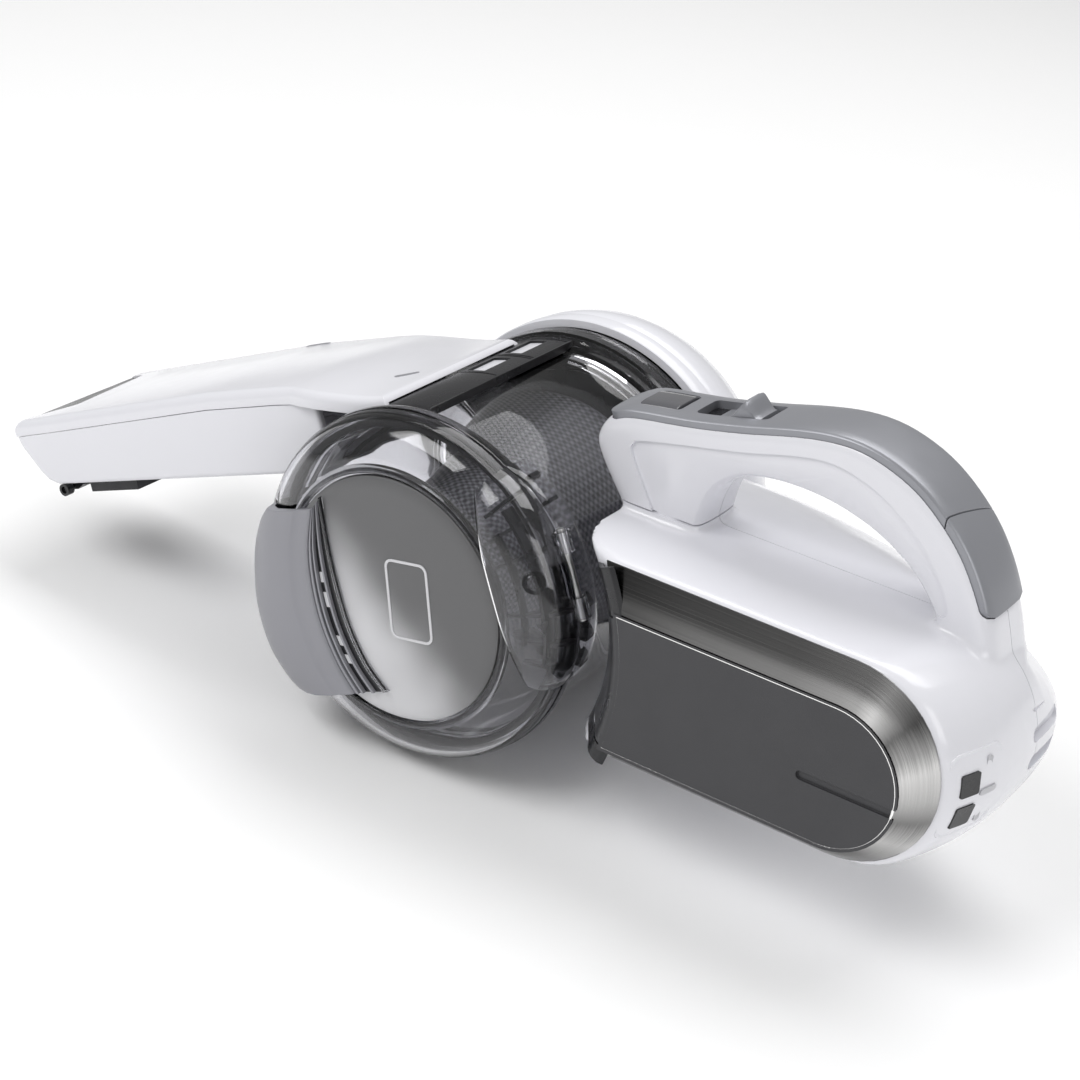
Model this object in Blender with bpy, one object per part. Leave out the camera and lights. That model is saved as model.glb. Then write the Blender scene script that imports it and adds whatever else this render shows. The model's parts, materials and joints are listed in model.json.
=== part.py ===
"""Pivoting cordless hand vacuum, modelled as an assembly of closed solids.

Lengths below are millimetres about the hub: the pivot axis runs along Y
through x = 0, z = 0.  X points to the back of the handle, Z points up.
ORIGIN carries the hub to its place in the part's own frame.
"""

import math

import bmesh
import bpy

MM = 0.001
ORIGIN = (-1.64, -27.0, 71.0)
GAP = 0.3

PITCH = math.radians(21.5)
BOWL_R = 62.5
BOWL_FRONT = -40.5
BOWL_BACK = 66.0
FLANGE_R = 67.5
WALL = 2.0

DOOR_FRONT = -57.5
DISC_R = 47.7
HINGE_TURN = math.radians(24.0)
HINGE_X = 71.0
HINGE_Y = -41.0

NOZZLE_TIP = 212.0
NOZZLE_NEAR = -29.5
NOZZLE_FAR = 48.5
NOZZLE_TOP = 69.5
NOZZLE_SPLIT = 63.2
NOZZLE_FLOOR = 41.0

BODY_LOW = -33.0
BODY_HIGH = 44.0
BODY_REAR = 226.0
BODY_LEFT = -47.0
MID_Y = 4.0
SHELL = 2.5
FRONT_R = 77.3

HANDLE_HALF = 15.0
SLIDER_PITCH = math.radians(12.5)
BRUSH_U = 196.0
BRUSH_W = 38.0

CELL_R = 9.1
CELL_PLACES = ((118.0, -20.0), (137.5, -20.0), (157.0, -20.0), (127.7, -1.0), (147.3, -1.0))

HANDLE_OUTER = [
    (69, 36), (65, 41), (57, 50), (50.8, 60), (50, 66.5), (54, 72.5), (62, 77), (90, 82),
    (108, 86), (126, 91), (147, 94.3), (164.5, 91), (179, 83), (191.5, 70.5),
    (200, 57), (206, 46), (211, 36),
]
HANDLE_INNER = [
    (189, 36), (186, 47), (178, 57), (170, 63), (159, 69), (145, 73), (131, 74),
    (118, 72.5), (108, 69), (100.5, 62.5), (97, 52), (95, 36),
]
GRIP_LINE = HANDLE_OUTER[5:15]


LATCH_OUTER = [(-64.5, 14.5), (-67.5, 6.0), (-68.6, -3.5), (-68.6, -14.0), (-67.3, -24.5), (-64.3, -34.5),
               (-59.0, -44.6), (-52.5, -51.5), (-45.0, -57.0)]
LATCH_INNER = [(-36.0, 25.5), (-36.8, 15.0), (-36.0, 5.0), (-33.8, -6.5), (-30.3, -16.5), (-25.8, -25.2),
               (-20.2, -33.2), (-15.8, -38.2), (-11.0, -42.6)]


# ---------------------------------------------------------------- helpers

def clear_scene():
    for obj in list(bpy.data.objects):
        bpy.data.objects.remove(obj, do_unlink=True)


def material(name, colour, roughness, metallic=0.0, alpha=1.0):
    mat = bpy.data.materials.new(name)
    mat.use_nodes = True
    bsdf = mat.node_tree.nodes["Principled BSDF"]
    bsdf.inputs["Base Color"].default_value = (*colour, 1.0)
    bsdf.inputs["Roughness"].default_value = roughness
    bsdf.inputs["Metallic"].default_value = metallic
    bsdf.inputs["Alpha"].default_value = alpha
    mat.diffuse_color = (*colour, alpha)
    return mat


def finish(name, bm, mat=None):
    """Scale a millimetre mesh to metres, move it by ORIGIN and link it."""
    for vert in bm.verts:
        vert.co = [(c + o) * MM for c, o in zip(vert.co, ORIGIN)]
    bmesh.ops.recalc_face_normals(bm, faces=bm.faces)
    mesh = bpy.data.meshes.new(name)
    bm.to_mesh(mesh)
    bm.free()
    obj = bpy.data.objects.new(name, mesh)
    bpy.context.scene.collection.objects.link(obj)
    if mat:
        mesh.materials.append(mat)
    return obj


def side(a, b, t):
    """Outline in X and Z, thickness along Y."""
    return (a, t, b)


def plan(a, b, t):
    """Outline in X and Y, thickness along Z."""
    return (a, b, t)


def front(a, b, t):
    """Outline in Y and Z, thickness along X."""
    return (t, a, b)


def nozzle_side(u, w, y):
    """Nozzle coordinates: u along the nozzle to its tip, w square to it."""
    c, s = math.cos(PITCH), math.sin(PITCH)
    return (-u * c - w * s, y, -u * s + w * c)


def nozzle_plan(u, y, w):
    return nozzle_side(u, w, y)


def loft_mesh(bm, rings):
    """Skin between rings of equal length, with a flat cap on each end."""
    verts = [[bm.verts.new(p) for p in ring] for ring in rings]
    for low, high in zip(verts, verts[1:]):
        for i in range(len(low)):
            j = (i + 1) % len(low)
            bm.faces.new((low[i], low[j], high[j], high[i]))
    bm.faces.new(verts[0])
    bm.faces.new(verts[-1])
    return bm


def loft(name, rings, mat=None):
    return finish(name, loft_mesh(bmesh.new(), rings), mat)


def prism(name, outline, frame, low, high, mat=None):
    rings = [[frame(a, b, t) for a, b in outline] for t in (low, high)]
    return loft(name, rings, mat)


def prisms(name, solids):
    """Several separate prisms in one hidden cutter."""
    bm = bmesh.new()
    for outline, frame, low, high in solids:
        loft_mesh(bm, [[frame(a, b, t) for a, b in outline] for t in (low, high)])
    return finish(name, bm)


def ring_prism(name, outer, inner, frame, low, high, mat):
    """A plate between two outlines of equal point count."""
    bm = bmesh.new()
    loops = [[bm.verts.new(frame(a, b, t)) for a, b in line]
             for line, t in ((outer, low), (outer, high), (inner, high), (inner, low))]
    for low_loop, high_loop in zip(loops, loops[1:] + loops[:1]):
        for i in range(len(outer)):
            j = (i + 1) % len(outer)
            bm.faces.new((low_loop[i], low_loop[j], high_loop[j], high_loop[i]))
    return finish(name, bm, mat)


def lathe(name, profile, mat=None, segments=48, start=0.0, sweep=360.0):
    """Turn an (r, y) outline about the hub axis."""
    bm = bmesh.new()
    a = math.radians(start)
    verts = [bm.verts.new((r * math.cos(a), y, r * math.sin(a))) for r, y in profile]
    whole = sweep >= 360.0
    edges = [bm.edges.new((verts[i - 1], verts[i])) for i in range(len(verts))
             if profile[i - 1][0] > 0.01 or profile[i][0] > 0.01]
    section = [] if whole else [bm.faces.new(verts)]
    bmesh.ops.spin(
        bm, geom=[*section, *edges, *verts], cent=(0, 0, 0), axis=(0, -1, 0),
        angle=math.radians(sweep), steps=segments, use_merge=whole, use_duplicate=False,
    )
    bmesh.ops.remove_doubles(bm, verts=bm.verts, dist=1e-4)
    return finish(name, bm, mat)


def circle(a, b, r, count=16, turn=0.0):
    step = 2 * math.pi / count
    return [(a + r * math.cos(turn + i * step), b + r * math.sin(turn + i * step))
            for i in range(count)]


def box(a0, a1, b0, b1):
    return [(a0, b0), (a1, b0), (a1, b1), (a0, b1)]


def round_box(a0, a1, b0, b1, r, steps=3):
    """A rectangle with rounded corners."""
    out = []
    corners = ((a1 - r, b1 - r, 0), (a0 + r, b1 - r, 90), (a0 + r, b0 + r, 180), (a1 - r, b0 + r, 270))
    for a, b, turn in corners:
        for i in range(steps + 1):
            t = math.radians(turn + 90.0 * i / steps)
            out.append((a + r * math.cos(t), b + r * math.sin(t)))
    return out


def offset(line, d, closed=True):
    """Move each point of a line sideways by d, to the left of its run."""
    out = []
    count = len(line)
    for i, (x, y) in enumerate(line):
        before = line[i - 1] if closed or i else line[i]
        after = line[(i + 1) % count] if closed or i < count - 1 else line[i]
        normals = []
        for p, q in ((before, (x, y)), ((x, y), after)):
            length = math.hypot(q[0] - p[0], q[1] - p[1])
            if length > 1e-9:
                normals.append(((p[1] - q[1]) / length, (q[0] - p[0]) / length))
        nx = sum(n[0] for n in normals) / len(normals)
        ny = sum(n[1] for n in normals) / len(normals)
        scale = d / max(nx * nx + ny * ny, 0.25)
        out.append((x + nx * scale, y + ny * scale))
    return out


def modify(obj, other, operation):
    """Boolean with a hidden second solid."""
    other.hide_render = True
    other.display_type = "WIRE"
    mod = obj.modifiers.new(other.name, "BOOLEAN")
    mod.solver = "EXACT"
    mod.operation = operation
    mod.object = other
    return obj


def cut(obj, other):
    return modify(obj, other, "DIFFERENCE")


def fuse(obj, other):
    return modify(obj, other, "UNION")


# ---------------------------------------------------------------- outlines

def body_outline(rear, front_r, low, high):
    """Side outline of the body: concave front about the hub, round back."""
    half = (high - low) / 2
    mid = (high + low) / 2
    a0, a1 = math.asin(low / front_r), math.asin(high / front_r)
    points = [(front_r * math.cos(a), front_r * math.sin(a))
              for a in (a0 + (a1 - a0) * i / 8 for i in range(9))]
    centre = rear - half * 0.86
    for i in range(13):
        t = math.pi / 2 - math.pi * i / 12
        points.append((centre + 0.86 * half * math.cos(t), mid + half * math.sin(t)))
    return points


def body_ring(y, rear, front_r, trim):
    line = body_outline(rear, front_r, BODY_LOW + trim, BODY_HIGH - trim)
    return [side(a, b, y) for a, b in line]


def handle_ring(y, trim):
    """Closed C of the handle: outer line out, inner line back."""
    line = offset(HANDLE_OUTER + HANDLE_INNER, -trim)
    return [side(a, b, y) for a, b in line]


def grip_strip(chain, y, low, high):
    """Cross outline of a strip that lies on the grip's top line."""
    under = offset(chain, low, closed=False)
    over = offset(chain, high, closed=False)
    return [side(a, b, y) for a, b in under + over[::-1]]


def grip_between(x0, x1):
    """The piece of the grip's top line between two values of x."""
    def at(x):
        for (xa, za), (xb, zb) in zip(GRIP_LINE, GRIP_LINE[1:]):
            if xa <= x <= xb:
                return (x, za + (zb - za) * (x - xa) / (xb - xa))
        return GRIP_LINE[-1]
    inner = [p for p in GRIP_LINE if x0 + 0.5 < p[0] < x1 - 0.5]
    return [at(x0), *inner, at(x1)]


# ---------------------------------------------------------------- body

LEFT_SECTIONS = (
    (BODY_LEFT, 213.0, 91.0, 1.5), (-45.5, 216.0, 87.0, 0.3), (-42.0, 220.0, 82.5, 0.0),
    (-37.0, 223.0, 79.0, 0.0), (-31.0, 225.0, FRONT_R, 0.0), (-12.0, BODY_REAR, FRONT_R, 0.0),
)
RIGHT_SECTIONS = (
    (24.0, BODY_REAR, FRONT_R, 0.0), (36.0, 222.0, FRONT_R, 0.0), (44.0, 212.0, FRONT_R, 0.5),
    (52.0, 192.0, FRONT_R, 1.5), (60.0, 170.0, FRONT_R, 3.0), (67.8, 150.0, FRONT_R, 5.0),
    (68.6, 148.0, 71.7, 5.5), (78.0, 128.0, 71.7, 8.0), (88.0, 112.0, 71.7, 11.0),
    (96.0, 100.0, 71.7, 15.0),
)


LEFT_CAVITY = (
    (-44.5, 214.0, 92.5, 1.5), (-41.5, 218.0, 87.0, 0.3), (-35.0, 221.0, 82.0, 0.0),
    (-29.0, 224.0, 80.0, 0.0), (-11.0, BODY_REAR, 79.8, 0.0),
)
RIGHT_CAVITY = (
    (21.5, BODY_REAR, 79.8, 0.0), (33.5, 222.0, 79.8, 0.0), (41.5, 212.0, 79.8, 0.5),
    (49.5, 192.0, 79.8, 1.5), (57.5, 170.0, 79.8, 3.0), (65.3, 150.0, 79.8, 5.0),
    (70.6, 143.0, 79.8, 6.5), (71.8, 140.0, 74.2, 7.0), (77.0, 128.0, 74.2, 8.5),
    (86.0, 112.0, 74.2, 11.0), (93.5, 100.0, 74.2, 15.0),
)


def body_half(name, sections, mid_first, mat):
    rings = [body_ring(*s) for s in sections]
    middle = body_ring(MID_Y + (0.15 if mid_first else -0.15), BODY_REAR, FRONT_R, 0.0)
    return loft(name, [middle, *rings] if mid_first else [*rings, middle], mat)


def body_cavity(name, sections, mid_first):
    rings = [body_ring(y, rear - SHELL, front_r, trim + SHELL) for y, rear, front_r, trim in sections]
    middle = body_ring(MID_Y + (-1.0 if mid_first else 1.0), BODY_REAR - SHELL, FRONT_R + SHELL, SHELL)
    return loft(name, [middle, *rings] if mid_first else [*rings, middle])


def handle_half(name, sign, mat=None):
    """One half of the C of the handle, rounded on its outer face."""
    places = ((HANDLE_HALF, 2.2), (HANDLE_HALF - 0.9, 0.9), (HANDLE_HALF - 2.6, 0.0), (0.15, 0.0))
    return loft(name, [handle_ring(MID_Y + sign * y, trim) for y, trim in places], mat)


def handle_cavity(name, sign):
    low = [(x, z if z > 36 else 33) for x, z in HANDLE_OUTER + HANDLE_INNER]
    line = offset(low, -SHELL)
    ends = (MID_Y + sign * (HANDLE_HALF - SHELL), MID_Y - sign * 1.0)
    return loft(name, [[side(a, b, y) for a, b in line] for y in ends])


def housing_left(mat):
    obj = body_half("housing_left", LEFT_SECTIONS, False, mat)
    fuse(obj, handle_half("tool_handle_left", -1))
    cut(obj, body_cavity("tool_cavity_left", LEFT_CAVITY, False))
    cut(obj, handle_cavity("tool_grip_left", -1))
    cut(obj, prism("tool_pocket", round_box(-39.5, -13.5, -8.0, 22.0, 3.0), front, 219.0, 232.0))
    return obj


def housing_right(mat):
    obj = body_half("housing_right", RIGHT_SECTIONS, True, mat)
    fuse(obj, handle_half("tool_handle_right", 1))
    cut(obj, body_cavity("tool_cavity_right", RIGHT_CAVITY, True))
    cut(obj, handle_cavity("tool_grip_right", 1))
    slots = [(round_box(9.0, 30.0, z, z + 3.4, 1.6), front, 205.0, 235.0)
             for z in (-9.0, 1.0, 11.0, 21.0)]
    return cut(obj, prisms("tool_vents", slots))


def stadium(front_r, low, high, rear, half):
    """Outline of the side panel and its trim."""
    mid = (low + high) / 2
    a0, a1 = math.asin(low / front_r), math.asin(high / front_r)
    points = [(front_r * math.cos(a), front_r * math.sin(a))
              for a in (a0 + (a1 - a0) * i / 8 for i in range(9))]
    for i in range(15):
        t = math.pi / 2 - math.pi * i / 14
        points.append((rear - half + half * math.cos(t), mid + (high - low) / 2 * math.sin(t)))
    return points


def side_panel(steel, charcoal):
    outer = stadium(91.5, -31.0, 42.0, 214.0, 36.0)
    hole = stadium(95.5, -26.0, 25.5, 201.5, 25.0)
    ring_prism("trim_left", outer, hole, side, -50.0, BODY_LEFT - GAP, steel)
    outline = stadium(95.9, -25.6, 25.1, 201.1, 25.0)
    rings = [[side(a, b, y) for a, b in offset(outline, -d)]
             for y, d in ((-51.5, 1.6), (-51.1, 0.5), (-50.2, 0.0), (BODY_LEFT - GAP, 0.0))]
    loft("side_panel_left", rings, charcoal)


def grip_inserts(silver, lens_mat, dark):
    spans = ((-11.0, 0.3, 2.4), (-10.0, 0.3, 3.6), (-7.0, 0.3, 4.2), (15.0, 0.3, 4.2),
             (18.0, 0.3, 3.6), (19.0, 0.3, 2.4))
    upper = loft("handle_insert_upper",
                 [grip_strip(grip_between(57.5, 189.0), y, a, b) for y, a, b in spans], silver)
    holes = [(box(62.4, 78.4, -4.0, 12.0), plan, 70.0, 99.0),
             (box(85.0, 112.5, -3.5, 11.5), plan, 70.0, 104.0)]
    cut(upper, prisms("tool_insert_holes", holes))
    loft("handle_insert_lower",
         [grip_strip(grip_between(189.6, 199.8), y, a, b) for y, a, b in spans], silver)
    loft("indicator_lens",
         [grip_strip(grip_between(63.9, 77.9), y, 0.4, 4.3) for y in (-3.6, 11.6)], lens_mat)
    loft("slider_plate",
         [grip_strip(grip_between(86.0, 111.6), y, 0.3, 1.2) for y in (-3.1, 11.1)], dark)


def slider(mat):
    places = ((-2.6, 5.6), (-1.6, 7.4), (9.6, 7.4), (10.6, 5.6))
    loft("power_slider", [grip_strip(grip_between(93.0, 110.0), y, 1.7, h)
                          for y, h in places], mat)


def contacts(white, dark):
    panel = prism("contact_panel", round_box(-39.1, -13.9, -7.6, 21.6, 2.7), front, 219.3, 221.6, white)
    wells = []
    for name, low in (("charge_contact_lower", -2.5), ("charge_contact_upper", 8.5)):
        wells.append((round_box(-33.3, -22.7, low - 0.3, low + 8.3, 1.4), front, 220.2, 223.0))
        prism(name, round_box(-33.0, -23.0, low, low + 8.0, 1.2), front, 220.5, 221.3, dark)
    cut(panel, prisms("tool_contact_wells", wells))


def battery(cell_mat, tray_mat, board_mat):
    for i, (x, z) in enumerate(CELL_PLACES):
        prism(f"battery_cell_{i + 1}", circle(x, z, CELL_R, 20), side, -36.0, 29.0, cell_mat)
    tray = prism("battery_tray", box(106.0, 169.0, -30.2, -20.5), side, -37.8, 30.8, tray_mat)
    wells = [(circle(x, z, CELL_R + 0.4, 20), side, -36.6, 29.6) for x, z in CELL_PLACES[:3]]
    cut(tray, prisms("tool_wells", wells))
    prism("control_board", box(112.0, 176.0, -24.0, 20.0), plan, 24.0, 25.6, board_mat)
    prism("power_switch", box(95.0, 107.5, -2.0, 10.0), plan, 74.9, 79.1, tray_mat)


def motor_unit(white, black, steel, rubber):
    lathe("motor_drum", [
        (71, 69.8), (69.8, 84), (64.5, 99), (55, 110), (38, 116), (0, 117), (0, 114.5),
        (37.2, 113.6), (53.2, 108), (62.2, 97.5), (67.2, 83.5), (68.5, 69.8)], white)
    lathe("fan_shroud", [(19, 66.9), (67.4, 66.9), (67.4, 69.0), (19, 69.0)], black)
    lathe("motor_can", [(3.2, 84), (20, 84), (22, 86), (22, 110), (20, 112), (3.2, 112)], steel, 32)
    lathe("motor_bracket", [(22.4, 91), (61, 91), (61, 93.5), (22.4, 93.5)], black, 40)
    lathe("motor_mount", [(22.4, 104), (27, 104), (27, 110), (22.4, 110)], rubber, 32)


def rotor(steel, grey):
    shaft = [(2.4 * math.cos(t), 2.4 * math.sin(t)) for t in (math.pi * i / 6 for i in range(12))]
    prism("motor_shaft", shaft, side, 70.0, 108.0, steel)
    star = []
    for i in range(9):
        for turn, r in ((0.0, 11.0), (12.0, 11.0), (18.0, 33.0), (22.0, 33.0)):
            t = math.radians(40.0 * i + turn)
            star.append((r * math.cos(t), r * math.sin(t)))
    hole = [(2.7 * math.cos(2 * math.pi * i / 36), 2.7 * math.sin(2 * math.pi * i / 36))
            for i in range(36)]
    fan = ring_prism("impeller", star, hole, side, 71.5, 80.0, grey)
    fuse(fan, lathe("tool_fan_back", [(2.7, 79.0), (34.5, 79.0), (34.5, 81.0), (2.7, 81.0)], None, 36))


def pivot(black, rubber):
    lathe("pivot_ring", [(40, 57.1), (45.6, 57.1), (45.6, 66.4), (40, 66.4)], black)
    lathe("pivot_seal", [(46.8, 59.4), (50.5, 59.4), (50.5, 61.6), (46.8, 61.6)], rubber)


# ---------------------------------------------------------------- head

def bowl(clear):
    obj = lathe("bowl_shell", [
        (60.5, -40.5), (FLANGE_R, -40.5), (FLANGE_R, -37.5), (64.5, -36), (BOWL_R, -34),
        (BOWL_R, 52), (68.5, 59), (68.5, 66), (66.5, 66), (66.5, 60), (61.5, 59),
        (46, 59), (46, 57), (60.5, 57)], clear, 64)
    inlet = prism("tool_inlet", box(5.0, 75.0, 45.2, 59.4), nozzle_side, -20.0, 40.0)
    return cut(obj, inlet)


def collar(black):
    lathe("collar", [(63.0, -33), (66.2, -33), (66.2, 49), (63.0, 49)], black, 5, 92.0, 17.5)


def hinge_frame(a, b, t):
    """Outwards from the hub at the hinge, along the hub axis, and along the hinge pin."""
    c, s = math.cos(HINGE_TURN), math.sin(HINGE_TURN)
    return (a * c - t * s, b, a * s + t * c)


def hinge_parts(clear, steel):
    lathe("hinge_housing", [(63.0, -33.5), (68.5, -35.8), (70.5, -33), (70.5, -27),
                            (66, -22), (63.0, -22)], clear, 19, -13.0, 76.0)
    for name, low in (("hinge_knuckle_upper", 8.3), ("hinge_knuckle_lower", -16.0)):
        ring_prism(name, circle(HINGE_X, HINGE_Y, 3.2, 24), circle(HINGE_X, HINGE_Y, 1.7, 24),
                   hinge_frame, low, low + 7.7, clear)
    prism("hinge_pin", circle(HINGE_X, HINGE_Y, 1.5, 24), hinge_frame, -17.0, 17.0, steel)


def nozzle(white):
    outline = [(NOZZLE_TIP, NOZZLE_NEAR), (50, NOZZLE_NEAR), (38, -33), (0, -33.6), (0, 50),
               (30, 50), (62, NOZZLE_FAR), (NOZZLE_TIP, NOZZLE_FAR)]
    upper = prism("nozzle_upper", outline, nozzle_plan, NOZZLE_SPLIT, NOZZLE_TOP, white)
    inner = [(NOZZLE_TIP + 6, NOZZLE_NEAR + 2.5), (52, NOZZLE_NEAR + 2.5), (39, -30.5),
             (-6, -31), (-6, 47.5), (30, 47.5), (62, NOZZLE_FAR - 2.5), (NOZZLE_TIP + 6, NOZZLE_FAR - 2.5)]
    cut(upper, prism("tool_nozzle_upper", inner, nozzle_plan, 60.0, NOZZLE_TOP - 2.5))
    notch = [(NOZZLE_TIP + 5, -20.0), (199.0, -11.0), (199.0, 38.0), (NOZZLE_TIP + 5, 42.0)]
    cut(upper, prism("tool_notch", notch, nozzle_plan, 62.0, 80.0))
    profile = [(40, 62.9), (210, 62.9), (202, 46), (194, NOZZLE_FLOOR), (40, NOZZLE_FLOOR)]
    lower = prism("nozzle_lower", profile, nozzle_side, NOZZLE_NEAR + 0.5, NOZZLE_FAR - 0.5, white)
    cut(lower, prism("tool_nozzle_lower", box(10.0, 230.0, NOZZLE_FLOOR + 2.5, 75.0),
                     nozzle_side, NOZZLE_NEAR + 3.0, NOZZLE_FAR - 3.0))
    cut(lower, lathe("tool_hub", [(0, -80), (62.9, -80), (62.9, 80), (0, 80)], None, 64))


def brush(dark, hair):
    profile = [(158, 38.6), (190, 38.6), (194, 36.5), (197, 36.5), (198, 38), (198, 39.5),
               (196.5, 40.6), (158, 40.6)]
    bar = prism("brush_bar", profile, nozzle_side, -20.0, 39.0, dark)
    fuse(bar, prism("tool_brush_stub", circle(BRUSH_U, BRUSH_W, 1.2, 12), nozzle_side, -25.0, 44.0))
    prism("brush_bristles", box(159.0, 187.0, 34.8, 38.3), nozzle_side, -19.0, 38.0, hair)
    for name, low in (("brush_bracket_near", -26.0), ("brush_bracket_far", 41.5)):
        ring_prism(name, circle(BRUSH_U, BRUSH_W, 2.7, 16), circle(BRUSH_U, BRUSH_W, 1.6, 16),
                   nozzle_side, low, low + 3.5, dark)


def filters(dark, mesh_mat, paper):
    lathe("filter_frame", [(44.6, 53.4), (58.5, 53.4), (58.5, 56.7), (44.6, 56.7)], dark)
    lathe("filter_mesh", [(0, -24), (27, -24), (29, -22), (46, 53), (44.2, 53), (27.4, -21),
                          (26, -22.3), (0, -22.3)], mesh_mat)
    outer, inner = [], []
    for i in range(36):
        t = 2 * math.pi * i / 36
        r = 24.0 if i % 2 else 18.5
        outer.append((r * math.cos(t), r * math.sin(t)))
        inner.append(((r - 1.6) * math.cos(t), (r - 1.6) * math.sin(t)))
    ring_prism("filter_pleats", outer, inner, side, -16.0, 50.0, paper)


def inlet_flap(rubber):
    profile = [(11.2, 56.2), (11.2, 57.6), (12.8, 58.1), (38.6, 44.9), (38.0, 43.7)]
    prism("inlet_flap", profile, nozzle_side, -21.0, 41.0, rubber)


# ---------------------------------------------------------------- door

def door(clear, frost, rubber, plain):
    shell = lathe("door_shell", [
        (67, -41), (67, -44), (65, -50), (59, -55.5), (50, DOOR_FRONT), (48, DOOR_FRONT),
        (48, -55.3), (44, -55.3), (44, -53.8), (50, -53.8), (57, -52), (62, -47.8),
        (64.5, -43.5), (64.5, -41)], clear, 64)
    arm = prism("tool_door_arm", box(64.8, HINGE_X, -46.0, -41.3), hinge_frame, -7.0, 7.0)
    knuckle = prism("tool_door_knuckle", circle(HINGE_X, HINGE_Y, 3.2, 24), hinge_frame, -8.0, 8.0)
    hole = prism("tool_door_hole", circle(HINGE_X, HINGE_Y, 1.7, 24), hinge_frame, -10.0, 10.0)
    fuse(shell, arm)
    fuse(shell, knuckle)
    cut(shell, hole)
    lathe("door_disc", [(0, -58.3), (46.5, -58.3), (DISC_R, -57.6), (DISC_R, -55.6), (0, -55.6)], frost)
    lathe("door_seal", [(61, -42.9), (63.7, -42.9), (63.7, -40.8), (61, -40.8)], rubber, 64)
    prism("door_badge", round_box(-8.0, 8.0, -13.0, 13.0, 2.5), side, -59.1, -58.6, plain)


def latch(grey):
    """A wide tab over the edge of the disc, with a skirt outside the rim."""
    rings = []
    for (xi, zi), (xo, zo) in zip(LATCH_INNER, LATCH_OUTER):
        r = math.hypot(xo, zo)
        out, skirt = max(r, 70.4) / r, 68.3 / r
        section = [(0.0, -60.2), (0.0, -62.7), (0.3, -63.0), (0.6, -62.5), (0.82, -60.6), (0.95, -57.0)]
        ring = [(xi + (xo * out - xi) * d, y, zi + (zo * out - zi) * d) for d, y in section]
        ring += [(xo * out, -52.0, zo * out), (xo * out, -38.0, zo * out)]
        ring += [(xo * skirt, -38.0, zo * skirt), (xo * skirt, -52.0, zo * skirt)]
        ring += [(xi + (xo * out - xi) * d, y, zi + (zo * out - zi) * d)
                 for d, y in ((0.84, -57.0), (0.6, -60.0))]
        rings.append(ring)
    loft("door_latch", rings, grey)


def build():
    clear_scene()
    white = material("white_plastic", (0.83, 0.83, 0.87), 0.28)
    silver = material("silver_plastic", (0.42, 0.43, 0.47), 0.35, 0.25)
    charcoal = material("charcoal_plastic", (0.07, 0.07, 0.075), 0.4, 0.3)
    trim = material("brushed_trim", (0.55, 0.55, 0.55), 0.25, 1.0)
    clear = material("smoke_clear", (0.32, 0.32, 0.34), 0.08, 0.0, 0.45)
    frost = material("frosted_clear", (0.62, 0.62, 0.64), 0.4, 0.0, 0.85)
    black = material("black_plastic", (0.02, 0.02, 0.022), 0.4)
    rubber = material("black_rubber", (0.015, 0.015, 0.015), 0.7)
    grey = material("latch_grey", (0.3, 0.3, 0.33), 0.4, 0.1)
    lens = material("smoke_lens", (0.12, 0.12, 0.13), 0.1)
    steel = material("steel", (0.5, 0.5, 0.5), 0.3, 1.0)
    cell = material("cell_wrap", (0.05, 0.2, 0.45), 0.4)
    board = material("board_green", (0.02, 0.18, 0.06), 0.5)
    mesh_mat = material("filter_mesh_grey", (0.11, 0.11, 0.12), 0.6)
    paper = material("filter_paper", (0.75, 0.75, 0.72), 0.9)
    hair = material("bristle_dark", (0.05, 0.05, 0.055), 0.8)

    housing_left(white)
    housing_right(white)
    side_panel(trim, charcoal)
    grip_inserts(silver, lens, black)
    slider(silver)
    contacts(white, black)
    battery(cell, black, board)
    motor_unit(white, black, steel, rubber)
    rotor(steel, grey)
    pivot(black, rubber)
    bowl(clear)
    collar(black)
    hinge_parts(clear, steel)
    nozzle(white)
    brush(black, hair)
    filters(black, mesh_mat, paper)
    inlet_flap(rubber)
    door(clear, frost, rubber, grey)
    latch(grey)


build()
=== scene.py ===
"""Looks of the pivoting hand vacuum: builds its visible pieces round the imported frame."""

import json
import math

import bmesh
import bpy
from bpy.props import FloatProperty, FloatVectorProperty, IntProperty, PointerProperty
from bpy.types import Operator, Panel, PropertyGroup
from mathutils import Matrix, Vector


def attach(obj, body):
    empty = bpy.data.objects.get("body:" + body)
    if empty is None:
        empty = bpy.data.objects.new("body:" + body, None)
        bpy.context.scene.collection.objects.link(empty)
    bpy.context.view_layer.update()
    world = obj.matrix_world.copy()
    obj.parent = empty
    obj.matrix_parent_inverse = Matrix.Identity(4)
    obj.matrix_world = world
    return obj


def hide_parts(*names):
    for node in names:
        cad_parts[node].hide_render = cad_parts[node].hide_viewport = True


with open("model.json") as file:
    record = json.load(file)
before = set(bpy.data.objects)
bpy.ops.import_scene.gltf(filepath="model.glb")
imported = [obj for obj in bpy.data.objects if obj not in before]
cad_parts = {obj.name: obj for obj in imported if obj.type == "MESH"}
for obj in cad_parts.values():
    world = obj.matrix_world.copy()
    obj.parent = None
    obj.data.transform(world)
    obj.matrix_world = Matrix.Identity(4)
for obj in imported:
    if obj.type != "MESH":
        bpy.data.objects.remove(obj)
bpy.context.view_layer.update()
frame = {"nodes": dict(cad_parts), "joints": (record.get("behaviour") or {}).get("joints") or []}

bl_info = {
    "name": "Pivoting Hand Vacuum",
    "version": (1, 0, 0),
    "blender": (4, 5, 0),
    "location": "3D View > Sidebar > Hand Vacuum",
    "description": "Builds the visible pieces of a pivoting hand vacuum",
    "category": "Add Mesh",
}

MM = 0.001
JOINTS = {j["name"]: j for j in frame["joints"]}
HUB = Vector(JOINTS["nozzle_pivot"]["pos_m"])
PITCH = math.radians(21.5)
TAU = 2 * math.pi

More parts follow.
